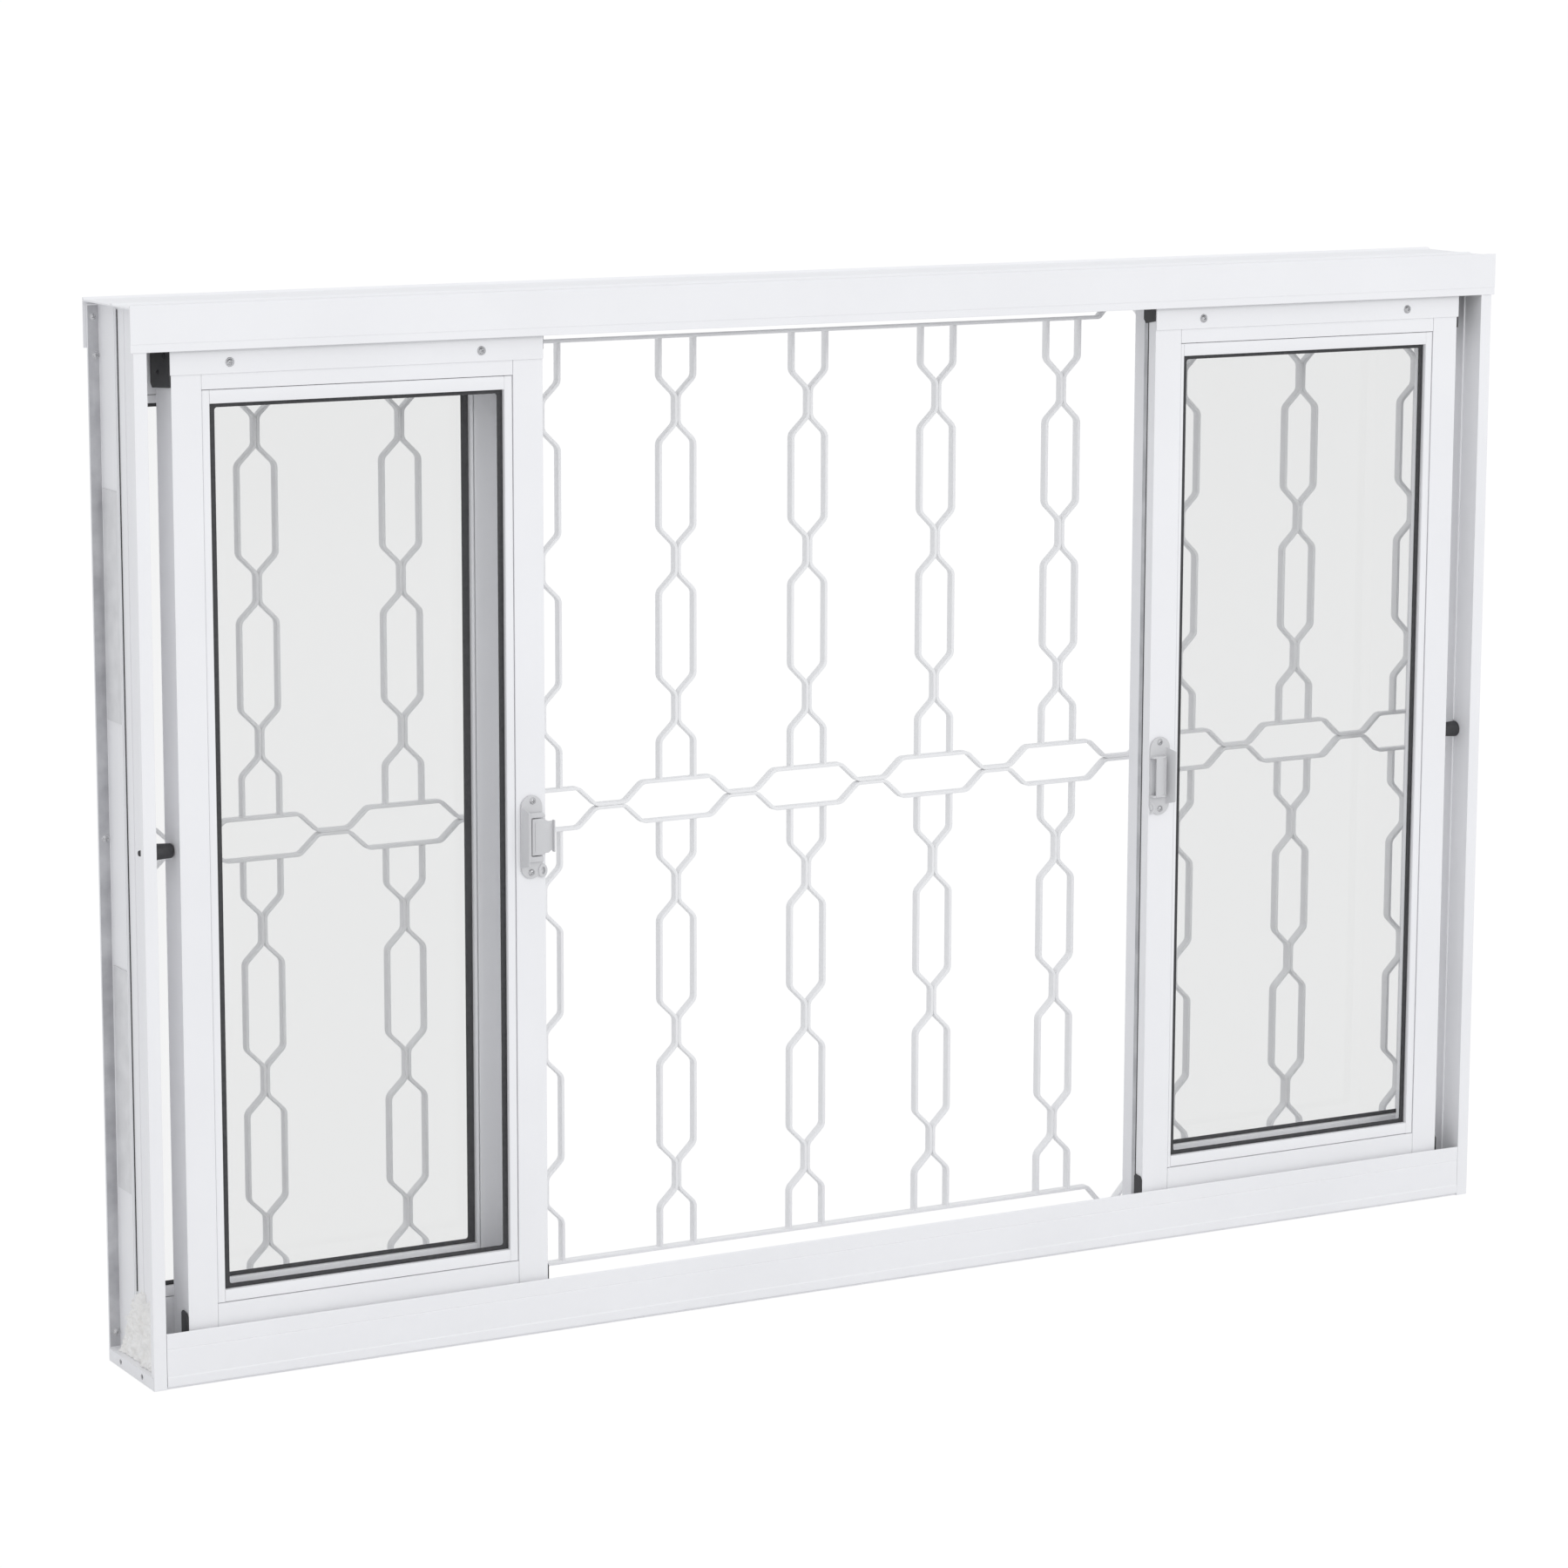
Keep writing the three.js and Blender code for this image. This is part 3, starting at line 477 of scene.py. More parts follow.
def soften(node, width):
    """Gives a CAD piece the small round edges of an extrusion or a moulding."""
    piece = frame["nodes"][node]
    weld_points = piece.modifiers.new("weld", "WELD")
    weld_points.merge_threshold = 1e-5
    flat = piece.modifiers.new("flat", "DECIMATE")
    flat.decimate_type = "DISSOLVE"
    flat.angle_limit = math.radians(1)
    edge = piece.modifiers.new("edge", "BEVEL")
    edge.width = width * MM
    edge.segments = 2
    edge.limit_method = "ANGLE"
    edge.angle_limit = math.radians(30)
    edge.harden_normals = True


def dress_frame():
    for part in frame["record"]["subparts"]:
        piece = frame["nodes"][part["node"]]
        piece.data.materials.clear()
        piece.data.materials.append(SLOT_MATERIAL[part["material_slot"]])
    edges = {
        0.4: ["head", "sill"],
        0.35: ["jamb", "meeting_stile", "outer_stile", "top_rail", "bottom_rail", "fixed_inner_stile"],
        0.3: ["fixed_outer_stile", "fixed_top_rail", "fixed_bottom_rail"],
        0.5: ["inner_guide", "outer_guide", "inner_carriage", "outer_carriage", "glass", "fixed_glass"],
        0.25: ["upper_fixing_plate", "lower_fixing_plate", "top_cover"],
    }
    for width, names in edges.items():
        for name in names:
            for node in (name, "left_" + name, "right_" + name):
                if node in frame["nodes"]:
                    soften(node, width)


dress_frame()


# ---------------------------------------------------------------- grille

BAR = 3.2  # thickness of the flat bar
BEND = 9.0
PITCH = 146.6  # from one chain column to the next
LINK_HALF = 18.9  # from a column's centre to the middle of its strand
TOUCH_HALF = BAR / 2 + 0.05
STRAIGHT_HALF = 14.0  # half of the stretch where two strands run side by side
SLOPE = 17.0
TURN_SLOPE = 0.9
HANGER_RISE = 18.0
CHAIN_BOX = span("grille_middle_chain")
CHAIN_LOW = CHAIN_BOX[0].z + BAR / 2
CHAIN_HIGH = CHAIN_BOX[1].z - BAR / 2
GRILLE_FRONT = CHAIN_BOX[0].y
GRILLE_BACK = CHAIN_BOX[1].y
GRILLE_END = CHAIN_BOX[1].x
TOP_BAR = 942.0
BOTTOM_BAR = 34.5
BAR_TURN_BEND = 5.0
HANGER_TOP = span("grille_upper_centre")[1].z
FOOT_END = 13.6
UPPER_CROSSINGS = (578.5, 724.5, 871.0)
LOWER_CROSSINGS = (108.0, 254.0, 400.0)
SECTION = bar_section(BAR, GRILLE_FRONT, GRILLE_BACK)


def strand(bm, centre, side, start, end, crossings):
    """One strand of a vertical chain."""
    far = centre + side * LINK_HALF
    near = centre + side * TOUCH_HALF
    points = [(far, start)]
    for z in crossings:
        points += [
            (far, z - STRAIGHT_HALF - SLOPE),
            (near, z - STRAIGHT_HALF),
            (near, z + STRAIGHT_HALF),
            (far, z + STRAIGHT_HALF + SLOPE),
        ]
    points.append((far, end))
    flat_bar(bm, points, SECTION, BEND)


def weld(bm, x, z, seed):
    """A low fillet on both sides of a strand's end, along the bar's depth."""
    middle = (GRILLE_FRONT + GRILLE_BACK) / 2
    for side in (-1, 1):
        place = (x + side * (BAR / 2 + 0.2), middle, z)
        lump(bm, place, (1.3, 4.2, 1.1), seed + side * 0.37)


def turned_end(x, z, up):
    """Points after the bend at a bar's end, up to the head or down to the sill."""
    if not up:
        return [(x + TURN_SLOPE * (z - FOOT_END), FOOT_END)]
    bend = x + TURN_SLOPE * HANGER_RISE
    return [(bend, z + HANGER_RISE), (bend, HANGER_TOP)]


def mirrored_points(points):
    return [(-x, z) for x, z in points][::-1]


def middle_bar(z, up):
    """The bar across the middle opening, turned at both ends."""
    flat = 2.29 * PITCH
    half = [(flat, z), *turned_end(flat, z, up)]
    return mirrored_points(half) + half


def side_bar(z, up):
    """The bar across the right side, turned at its inner end and cut straight at the jamb."""
    start = 2.64 * PITCH
    return mirrored_points([(-start, z), *turned_end(-start, z, up)]) + [(GRILLE_END, z)]


def grille_panel(node, columns, bar, bar_height, chain_edge, crossings):
    """A comb of chain columns welded to one horizontal bar."""
    bm = bmesh.new()
    flat_bar(bm, bar, SECTION, BAR_TURN_BEND)
    up = chain_edge < bar_height
    start = chain_edge if up else bar_height + BAR / 2
    end = bar_height - BAR / 2 if up else chain_edge
    for column, sides in columns:
        for side in sides:
            centre = column * PITCH
            strand(bm, centre, side, start, end, crossings)
            x = centre + side * LINK_HALF
            weld(bm, x, start, column + side * 0.5)
            weld(bm, x, end, column + side * 0.7)
    finish_piece(bm, node + "_bars", "frame", GRILLE_PAINT, [node])


def add_grille():
    both = (-1, 1)
    middle_columns = [(column, both) for column in (-2, -1, 0, 1, 2)]
    right_columns = [(3, both), (4, both), (5, (-1,))]
    left_columns = [(-3, both), (-4, both), (-5, (1,))]
    halves = [
        ("upper", TOP_BAR, True, CHAIN_HIGH + BAR / 2, UPPER_CROSSINGS),
        ("lower", BOTTOM_BAR, False, CHAIN_LOW - BAR / 2, LOWER_CROSSINGS),
    ]
    for half, height, up, chain, crossings in halves:
        side = side_bar(height, up)
        parts = [
            ("centre", middle_columns, middle_bar(height, up)),
            ("right", right_columns, side),
            ("left", left_columns, mirrored_points(side)),
        ]
        for name, columns, bar in parts:
            grille_panel(f"grille_{half}_{name}", columns, bar, height, chain, crossings)


def add_middle_chain():
    """Two horizontal strands that touch midway between the columns."""
    bm = bmesh.new()
    middle = (CHAIN_HIGH + CHAIN_LOW) / 2
    flat_half = 38.0
    touch_half = 16.0
    for side in (-1, 1):
        far = CHAIN_HIGH if side > 0 else CHAIN_LOW
        near = middle + side * TOUCH_HALF
        points = [(-GRILLE_END, far)]
        for gap in range(-5, 5):
            x = (gap + 0.5) * PITCH
            points += [
                (x - PITCH / 2 + flat_half, far),
                (x - touch_half, near),
                (x + touch_half, near),
                (x + PITCH / 2 - flat_half, far),
            ]
        points.append((GRILLE_END, far))
        flat_bar(bm, points, SECTION, BEND)
    node = "grille_middle_chain"
    finish_piece(bm, node + "_bars", "frame", GRILLE_PAINT, [node])


add_grille()
add_middle_chain()


# ---------------------------------------------------------------- beads and gaskets

GASKET_DEPTH = 1.6
GASKET_HIDDEN = 3.0
GASKET_CORNER = 2.5
GLASS_HALF = 2.0
BEAD_JOINT = 0.35
# Bead widths and shown gasket lips, each as (left, right, bottom, top).
LEFT_SASH_GLAZING = ((7.6, 8.4, 11.7, 12.7), (7.0, 5.0, 4.0, 4.0))
RIGHT_SASH_GLAZING = ((3.9, 8.2, 11.7, 12.7), (7.0, 4.0, 4.0, 4.0))
FIXED_GLAZING = ((4.7, 3.0, 9.7, 7.7), (4.0, 7.0, 4.0, 4.0))
BACK_LIPS = (0.4, 0.4, 0.4, 0.4)


def bead_strip(bm, start, end, inward, width, depths):
    """One straight bead from start to end in X-Z, a channel whose lips turn in towards the pane."""
    web = 0.8
    lip = 0.9
    front, front_end, back_end, back = depths
    outline = [
        (0, front + 0.5),
        (0.5, front),
        (width, front),
        (width, front_end),
        (width - lip, front_end),
        (width - lip, front + WALL),
        (web, front + WALL),
        (web, back - WALL),
        (width - lip, back - WALL),
        (width - lip, back_end),
        (width, back_end),
        (width, back),
        (0, back),
    ]
    section = rounded_outline(outline, 0.3, 2)
    across = Vector((inward[0], 0, inward[1]))
    ends = [Vector((p[0], 0, p[1])) for p in (start, end)]
    sweep(bm, [(p, across, Vector((0, 1, 0))) for p in ends], section)


def add_glazing(side, prefix, widths, lips):
    """Four cut beads with a fine joint all round, and the gasket between them and the pane."""
    bead_node = f"{side}_{prefix}glazing_bead"
    gasket_node = f"{side}_{prefix}glass_gasket"
    body = "frame" if prefix else side + "_sash"
    low, high = span(bead_node)
    left, right, bottom, top = widths
    x0 = low.x + BEAD_JOINT
    x1 = high.x - BEAD_JOINT
    z0 = low.z + BEAD_JOINT
    z1 = high.z - BEAD_JOINT
    middle = (span(gasket_node)[0].y + span(gasket_node)[1].y) / 2
    touch = GLASS_HALF + 0.05
    reach = touch + GASKET_DEPTH + 0.1
    depths = (low.y, middle - reach, middle + reach, high.y)
    bm = bmesh.new()
    bead_strip(bm, (x0, z0), (x0, z1), (1, 0), left - BEAD_JOINT, depths)
    bead_strip(bm, (x1, z0), (x1, z1), (-1, 0), right - BEAD_JOINT, depths)
    gap = 0.2
    x0 = low.x + left + gap
    x1 = high.x - right - gap
    bead_strip(bm, (x0, z0), (x1, z0), (0, 1), bottom - BEAD_JOINT, depths)
    bead_strip(bm, (x0, z1), (x1, z1), (0, -1), top - BEAD_JOINT, depths)
    finish_piece(bm, bead_node + "_strips", body, LEAF_PAINT, [bead_node])

    edges = (low.x + left, high.x - right, low.z + bottom, high.z - top)
    bm = bmesh.new()
    gasket_ring(bm, edges, lips, middle - touch)
    gasket_ring(bm, edges, BACK_LIPS, middle + touch + GASKET_DEPTH)
    finish_piece(bm, gasket_node + "_rings", body, RUBBER, [gasket_node])


def gasket_ring(bm, edges, lips, rear):
    """The gasket on one face of a pane: its outer part lies under the beads and its lips show."""
    left, right, low, high = edges
    hidden = GASKET_HIDDEN
    outer = rectangle(left - hidden, right + hidden, low - hidden, high + hidden)
    opening = rectangle(left + lips[0], right - lips[1], low + lips[2], high - lips[3])
    hole = rounded_outline(opening, GASKET_CORNER, 6)
    slab(bm, outer, [hole], facing_room(rear), GASKET_DEPTH, 0.5)


def add_all_glazing():
    add_glazing("left", "", *LEFT_SASH_GLAZING)
    add_glazing("right", "", *RIGHT_SASH_GLAZING)
    for side in SIDES:
        add_glazing(side, "fixed_", *FIXED_GLAZING)


def thin_strip(name, body, material, outline, heights):
    """One small upright strip let into a stile's edge."""
    bm = bmesh.new()
    upright(bm, outline, heights, 0.05)
    finish_piece(bm, name, body, material)


def add_meeting_seal():
    """Pile seal down the closing edge of the right sash, and a dark strip of painted shade behind it."""
    low, high = span("right_meeting_stile")
    front = low.y + 12.4
    back = front + 1.0
    inside = low.x + 0.2
    heights = (low.z + 1, high.z - 1)
    seal = rectangle(low.x - 0.5, inside, front, back)
    thin_strip("right_meeting_seal", "right_sash", RUBBER, seal, heights)
    # The strip behind the seal is painted shade: a dark metal skin where the gap lies in shadow.
    strip = rectangle(low.x - 0.12, inside, back, high.y - 0.6)
    thin_strip("right_meeting_shade_strip", "right_sash", PAINTED_SHADE_METAL, strip, heights)


def add_guide_tip():
    """End of the left sash's lower guide, just proud of the meeting stile."""
    low, high = span("left_meeting_stile")
    tip = rectangle(high.x - 0.2, high.x + 1.6, low.y + 1.2, low.y + 9)
    heights = (low.z + 1, low.z + 13)
    thin_strip("left_guide_tip", "left_sash", PLASTIC, tip, heights)


add_all_glazing()
add_meeting_seal()
add_guide_tip()


# ---------------------------------------------------------------- screws


# Rings of a screw's head from its centre out: inside the recess, on its edge, over the dome, and its foot.
SCREW_RINGS = [
    ("in", 0.6),
    ("in", 0.9),
    ("edge", 0.0),
    ("out", 0.04),
    ("out", 0.3),
    ("out", 0.6),
    ("out", 0.85),
    ("out", 0.96),
    ("out", 1.0),
    ("foot", 1.0),
]
COVER_SCREW_HEIGHT = 946.0
COVER_SCREWS = {"left": (-652.6, -402.9), "right": (395.3, 645.1)}
FLANGE_SCREWS = ((741.0, 982.0), (739.0, 947.0), (740.0, 500.0), (739.6, 27.0))
HANGER_SCREW_HEIGHT = 972
HANGER_SCREWS = (-370.8, -351.9, 351.9, 370.8)


def cross_radius(angle, length, half_width):
    """Distance from the centre to the edge of a cross recess, in one direction."""
    c = abs(math.cos(angle))
    s = abs(math.sin(angle))
    return min(length / max(c, s), half_width / max(min(c, s), 1e-6))


def pan_screw(bm, place, radius, height=2.0):
    """A pan head with a cross recess, rising along the local Z axis."""
    segments = 48
    arm = radius * 0.52
    half_width = radius * 0.13
    depth = height * 0.75

    def dome(r):
        return height * (1 - (r / radius) ** 3.0)

    centre = bm.verts.new(place @ Vector((0, 0, dome(0) - depth)))
    rings = []
    for kind, amount in SCREW_RINGS:
        ring = []
        for k in range(segments):
            angle = 2 * math.pi * k / segments
            edge = cross_radius(angle, arm, half_width)
            if kind == "in":
                r = edge * amount
                z = dome(edge) - depth * (1.15 - amount * 0.5)
            elif kind == "edge":
                r = edge
                z = dome(edge) - 0.05
            else:
                r = edge + (radius - edge) * amount
                z = dome(r) if kind == "out" else -0.4
            ring.append(bm.verts.new(place @ Vector((r * math.cos(angle), r * math.sin(angle), z))))
        rings.append(ring)
    for k in range(segments):
        m = (k + 1) % segments
        bm.faces.new((centre, rings[0][k], rings[0][m]))
        for a, b in zip(rings, rings[1:]):
            bm.faces.new((a[k], b[k], b[m], a[m]))
    bm.faces.new(rings[-1][::-1])


def turned(place, degrees):
    return place @ Matrix.Rotation(math.radians(degrees), 4, "Z")


def room_place(x, y, z):
    """A frame at a point, its local Z axis towards the room."""
    place = facing_room(y)
    place.translation = Vector((x, y, z))
    return place


def washer(bm, place, radius, height=0.6):
    profile = [(0, -0.3), (radius, -0.3), (radius, height * 0.5), (radius - 0.3, height), (0, height)]
    lathe(bm, profile, place, 32)


def add_cover_screws():
    for side, places in COVER_SCREWS.items():
        front = span(side + "_top_cover")[0].y
        bm = bmesh.new()
        for k, x in enumerate(places):
            degrees = 20 + 31 * k + 13 * SIDES[side]
            place = turned(room_place(x, front, COVER_SCREW_HEIGHT), degrees)
            washer(bm, place, 4.3)
            pan_screw(bm, place @ Matrix.Translation((0, 0, 0.5)), 3.3, 2.2)
        finish_piece(bm, side + "_cover_screws", side + "_sash", STEEL)


def add_channel_screws():
    """Screws through the jambs' rear flanges, seen in the channels that face the wall."""
    for side, sign in SIDES.items():
        flange = span(side + "_jamb")[1].y - WALL
        bm = bmesh.new()
        for k, (x, z) in enumerate(FLANGE_SCREWS):
            place = turned(room_place(sign * x, flange, z), 17 + 40 * k)
            washer(bm, place, 3.7, 0.5)
            pan_screw(bm, place @ Matrix.Translation((0, 0, 0.3)), 2.8, 1.6)
        finish_piece(bm, side + "_channel_screws", "frame", STEEL)


def add_guide_screws():
    """A dark screw and a plugged hole in the side plate of each outer guide."""
    for side, sign in SIDES.items():
        low, high = span(side + "_outer_guide")
        face = high.x if sign > 0 else low.x
        outward = Matrix(((0, 0, sign, face), (sign, 0, 0, 0), (0, 1, 0, 0), (0, 0, 0, 1)))
        bm = bmesh.new()
        place = outward.copy()
        place.translation = Vector((face, low.y + 27, low.z + 15))
        pan_screw(bm, place, 2.6, 1.2)
        place = outward.copy()
        place.translation = Vector((face, low.y + 12, low.z + 31))
        plug = [(0, 0.25), (1.6, 0.25), (2.0, 0.6), (3.0, 0.6), (3.4, 0.2), (3.4, -0.2), (0, -0.2)]
        lathe(bm, plug, place, 32)
        finish_piece(bm, side + "_guide_screws", side + "_sash", PLASTIC)


def add_hanger_screws():
    """Screws that hold the grille's turned ends to the head's rear flange."""
    bm = bmesh.new()
    for x in HANGER_SCREWS:
        pan_screw(bm, turned(room_place(x, GRILLE_FRONT, HANGER_SCREW_HEIGHT), 25), 1.5, 1.0)
    finish_piece(bm, "hanger_screws", "frame", STEEL)


add_cover_screws()
add_channel_screws()
add_guide_screws()
add_hanger_screws()


# ---------------------------------------------------------------- stops and rollers


def add_bumper(side):
    """Rubber stop: a soft-edged cone with a dished tip and a tail pulled through the jamb."""
    node = side + "_bumper"
    low, high = span(node)
    sign = SIDES[side]
    base = (high.x if sign > 0 else low.x) - sign * 8.0
    centre = Vector((base, (low.y + high.y) / 2, (low.z + high.z) / 2))
    place = Matrix(((0, 0, -sign, 0), (-sign, 0, 0, 0), (0, 1, 0, 0), (0, 0, 0, 1)))
    place.translation = centre
    profile = [
        (0, -8.0),
        (2.2, -8.0),
        (2.6, -7.6),
        (3.3, -3.8),
        (3.3, -0.1),
        (7.9, -0.1),
        (8.2, 0.3),
        (8.1, 1.2),
        (7.4, 12),
        (6.8, 22.6),
        (6.5, 23.7),
        (5.8, 24.4),
        (4.9, 24.4),
        (4.3, 23.8),
        (3.9, 22.6),
        (0, 22.4),
    ]
    bm = bmesh.new()
    lathe(bm, profile, place)
    finish_piece(bm, node + "_cone", "frame", RUBBER, [node], 50)


def add_roller(side, end):
    """Grooved wheel with a raised hub and a dished web."""
    node = f"{side}_{end}_roller"
    low, high = span(node)
    centre = (low + high) / 2
    place = Matrix(((1, 0, 0, centre.x), (0, 0, 1, centre.y), (0, -1, 0, centre.z), (0, 0, 0, 1)))
    half = (high.y - low.y) / 2
    rim = (high.z - low.z) / 2
    side_profile = [
        (2.1, half),
        (3.8, half),
        (4.2, half - 0.7),
        (7.4, half - 0.7),
        (7.8, half - 0.1),
        (rim - 0.4, half - 0.1),
        (rim, half - 0.5),
        (rim, half - 1.1),
        (8.4, 1.4),
        (8.0, 0.9),
    ]
    profile = side_profile + [(r, -along) for r, along in side_profile[::-1]]
    bm = bmesh.new()
    lathe(bm, [*profile, profile[0]], place, 64)
    finish_piece(bm, node + "_wheel", node, NYLON, [node])


for each in SIDES:
    add_bumper(each)
    add_roller(each, "inner")
    add_roller(each, "outer")


# ---------------------------------------------------------------- latch

LATCH_Z = 485.0
LATCH_HALF = 40.0
TONGUE_HALF = 17.5
NOTCH_HALF = 18.6
BOX_HALF = 19.0
PLATE_BACK = -50.3 + DEPTH_SHIFT
PLATE_THICKNESS = 2.0
PLATE_FRONT = PLATE_BACK - PLATE_THICKNESS
BOX_FRONT = -58.6 + DEPTH_SHIFT
LATCH_SCREW_RADIUS = 3.4
LATCH_SCREW_RISE = 1.9


def latch_plate(bm, middle, radius, side, notch):
    """Round-ended plate with a notch in one long side, where the tongue swings in."""
    upper, lower = stadium(middle, LATCH_Z - LATCH_HALF, LATCH_Z + LATCH_HALF, radius)
    edge = middle + side * radius
    cut = [(edge, LATCH_Z + NOTCH_HALF), (notch, LATCH_Z + NOTCH_HALF)]
    cut += [(x, 2 * LATCH_Z - z) for x, z in cut[::-1]]
    outline = upper + cut + lower if side < 0 else upper + lower + cut[::-1]
    slab(bm, outline, [], facing_room(PLATE_BACK), PLATE_THICKNESS, 0.5)


def raised(bm, points, back, thickness, edge, corner=0.8):
    """A raised shape on a latch plate, drawn in X-Z."""
    slab(bm, rounded_outline(points, corner, 3), [], facing_room(back), thickness, edge)


def grip_wall(bm, root, lean):
    """A thin finger grip that stands out from its plate and tapers to its free edge."""
    back = PLATE_FRONT + 0.3
    front = CAD_BOX[0].y / MM + 0.05
    root_half = 29
    taper = 3.2
    frames = []
    for t in (0, 0.12, 0.5, 0.94, 1):
        y = back + (front - back) * t
        half = root_half - taper * t - (0.5 if t == 1 else 0)
        width = WALL * (1.5 if t == 0 else 1) - (0.5 if t == 1 else 0)
        x = root + lean * t
        corners = rounded_outline(rectangle(-width / 2, width / 2, -half, half), 0.5, 2)
        frames.append([Vector((x + u, y, LATCH_Z + v)) for u, v in corners])
    rings = [[bm.verts.new(p) for p in ring] for ring in frames]
    for a, b in zip(rings, rings[1:]):
        for k in range(len(a)):
            m = (k + 1) % len(a)
            bm.faces.new((a[k], a[m], b[m], b[k]))
    bm.faces.new(rings[0][::-1])
    bm.faces.new(rings[-1])


def ellipse(x, z, half_width, half_height):
    count = 36
    angles = [2 * math.pi * k / count for k in range(count)]
    return [(x + half_width * math.cos(a), z + half_height * math.sin(a)) for a in angles]


def eyelet(bm, x, z):
    """Padlock eye beside the plate."""
    hole = ellipse(x + 0.3, z, 1.9, 3.5)
    slab(bm, ellipse(x, z, 4.7, 6.5), [hole], facing_room(PLATE_BACK - 0.3), 2.6, 0.5)


def housing_outline():
    """The body's raised housing, open towards the tongue's tip."""
    left = -361.5
    inner = -356.4
    right = -344.5
    top = LATCH_Z + 23.5
    bottom = LATCH_Z - 24
    return [
        (left, top),
        (right, top),
        (right + 2.9, top - 3.1),
        (right + 2.1, LATCH_Z + NOTCH_HALF),
        (inner, LATCH_Z + NOTCH_HALF),
        (inner, LATCH_Z - NOTCH_HALF),
        (right + 0.5, LATCH_Z - NOTCH_HALF),
        (right + 0.5, bottom),
        (left, bottom),
    ]


def add_plate_screws(name, body, places):
    """Two screws through a latch plate, each placed by (x, height over the latch's middle, turn)."""
    bm = bmesh.new()
    for x, height, degrees in places:
        place = turned(room_place(x, PLATE_FRONT, LATCH_Z + height), degrees)
        pan_screw(bm, place, LATCH_SCREW_RADIUS, LATCH_SCREW_RISE)
    finish_piece(bm, name, body, STEEL)


def add_latch_body():
    low, high = span("latch_body")
    left = low.x
    right = high.x - 1.4
    middle = (left + right) / 2
    bm = bmesh.new()
    latch_plate(bm, middle, (right - left) / 2, 1, -352.0)
    raised(bm, housing_outline(), PLATE_FRONT + 0.2, 3.4, 0.7, 1.2)
    grip_wall(bm, left + 0.9, 1.6)
    eyelet(bm, -343.6, LATCH_Z - 33)
    finish_piece(bm, "latch_body_shell", "left_sash", LATCH_PAINT, ["latch_body"])
    screws = [(middle + 0.9, 34.6, 12), (middle - 0.6, -34, 49)]
    add_plate_screws("latch_screws", "left_sash", screws)


def add_latch_tongue():
    """Sprung plate with a stepped lower edge and a lip bent towards the room."""
    low, high = span("latch_tongue")
    root = low.x + 2.6
    tip = high.x
    back = high.y
    bottom = LATCH_Z - TONGUE_HALF
    top = LATCH_Z + TONGUE_HALF
    outline = [
        (root, bottom),
        (-344.0, bottom),
        (-342.8, bottom + 1.6),
        (-338.5, bottom + 1.6),
        (-336.2, bottom + 3.6),
        (tip - 0.6, bottom + 3.6),
        (tip - 0.6, top - 3.0),
        (-338.6, top - 3.0),
        (-344.5, top),
        (root, top),
    ]
    bm = bmesh.new()
    raised(bm, outline, back, 1.6, 0.45, 0.8)
    upright(bm, rectangle(tip - WALL, tip, low.y, back), (bottom + 2.4, top - 2.2), 0.5, 3)
    rib = rectangle(low.x + 5.5, low.x + 7.0, bottom + 3.5, top - 3.5)
    raised(bm, rib, back - 1.5, 0.6, 0.25, 0.5)
    finish_piece(bm, "latch_tongue_plate", "latch_tongue", LATCH_PAINT, ["latch_tongue"])


def half_eyelet(x, z):
    """Half a ring, open to the left."""
    steps = 12
    turns = [math.pi * (k / steps - 0.5) for k in range(steps + 1)]
    outer = [(x + 5.6 * math.cos(a), z + 6.6 * math.sin(a)) for a in turns]
    inner = [(x + 3.2 * math.cos(a), z + 4.2 * math.sin(a)) for a in turns]
    return outer + inner[::-1]


def add_keeper():
    """Plate with a raised box for the tongue, a slot in it, a grip wall and half an eyelet."""
    low, high = span("latch_keeper")
    left = low.x
    right = high.x
    middle = (left + right) / 2
    box_right = left + 15.5
    bottom = LATCH_Z - BOX_HALF
    top = LATCH_Z + BOX_HALF
    bm = bmesh.new()
    latch_plate(bm, middle, (right - left) / 2, -1, left + 7)
    thin_edge = rectangle(left + 0.1, left + 1.2, bottom - 1, top + 1)
    raised(bm, thin_edge, PLATE_BACK, 0.8, 0.2, 0.3)
    bridge = rectangle(left + 3.6, left + 11.0, bottom - 2, top + 2)
    raised(bm, bridge, BOX_FRONT + WALL, WALL, 0.5)
    step = rectangle(left + 10.4, box_right, bottom - 2, top + 2)
    raised(bm, step, BOX_FRONT + WALL + 1.3, WALL, 0.5)
    walls = [
        rectangle(left, box_right, top, top + 2),
        rectangle(left, box_right, bottom - 2, bottom),
        rectangle(box_right - WALL, box_right, bottom - 1, top + 1),
    ]
    wall_back = PLATE_FRONT + 0.2
    for wall in walls:
        raised(bm, wall, wall_back, wall_back - BOX_FRONT - 0.4, 0.3, 0.4)
    grip_wall(bm, right - 4.0, 3.2)
    slab(bm, half_eyelet(left + 0.3, LATCH_Z - 32.2), [], facing_room(wall_back), 1.1, 0.35)
    finish_piece(bm, "latch_keeper_shell", "right_sash", LATCH_PAINT, ["latch_keeper"])
    screws = [(middle - 0.6, 34.8, 30), (middle + 0.6, -33.8, 59)]
    add_plate_screws("keeper_screws", "right_sash", screws)


add_latch_body()
add_latch_tongue()
add_keeper()


# ---------------------------------------------------------------- jamb channels

WEB_X = 735.8
FILLER_TOP = 78
FILLER_CREST = -5  # where along the depth the heap is highest
FILLER_FRONT = -46
FILLER_MOST = 10.5
FILLER_STEP = 0.8


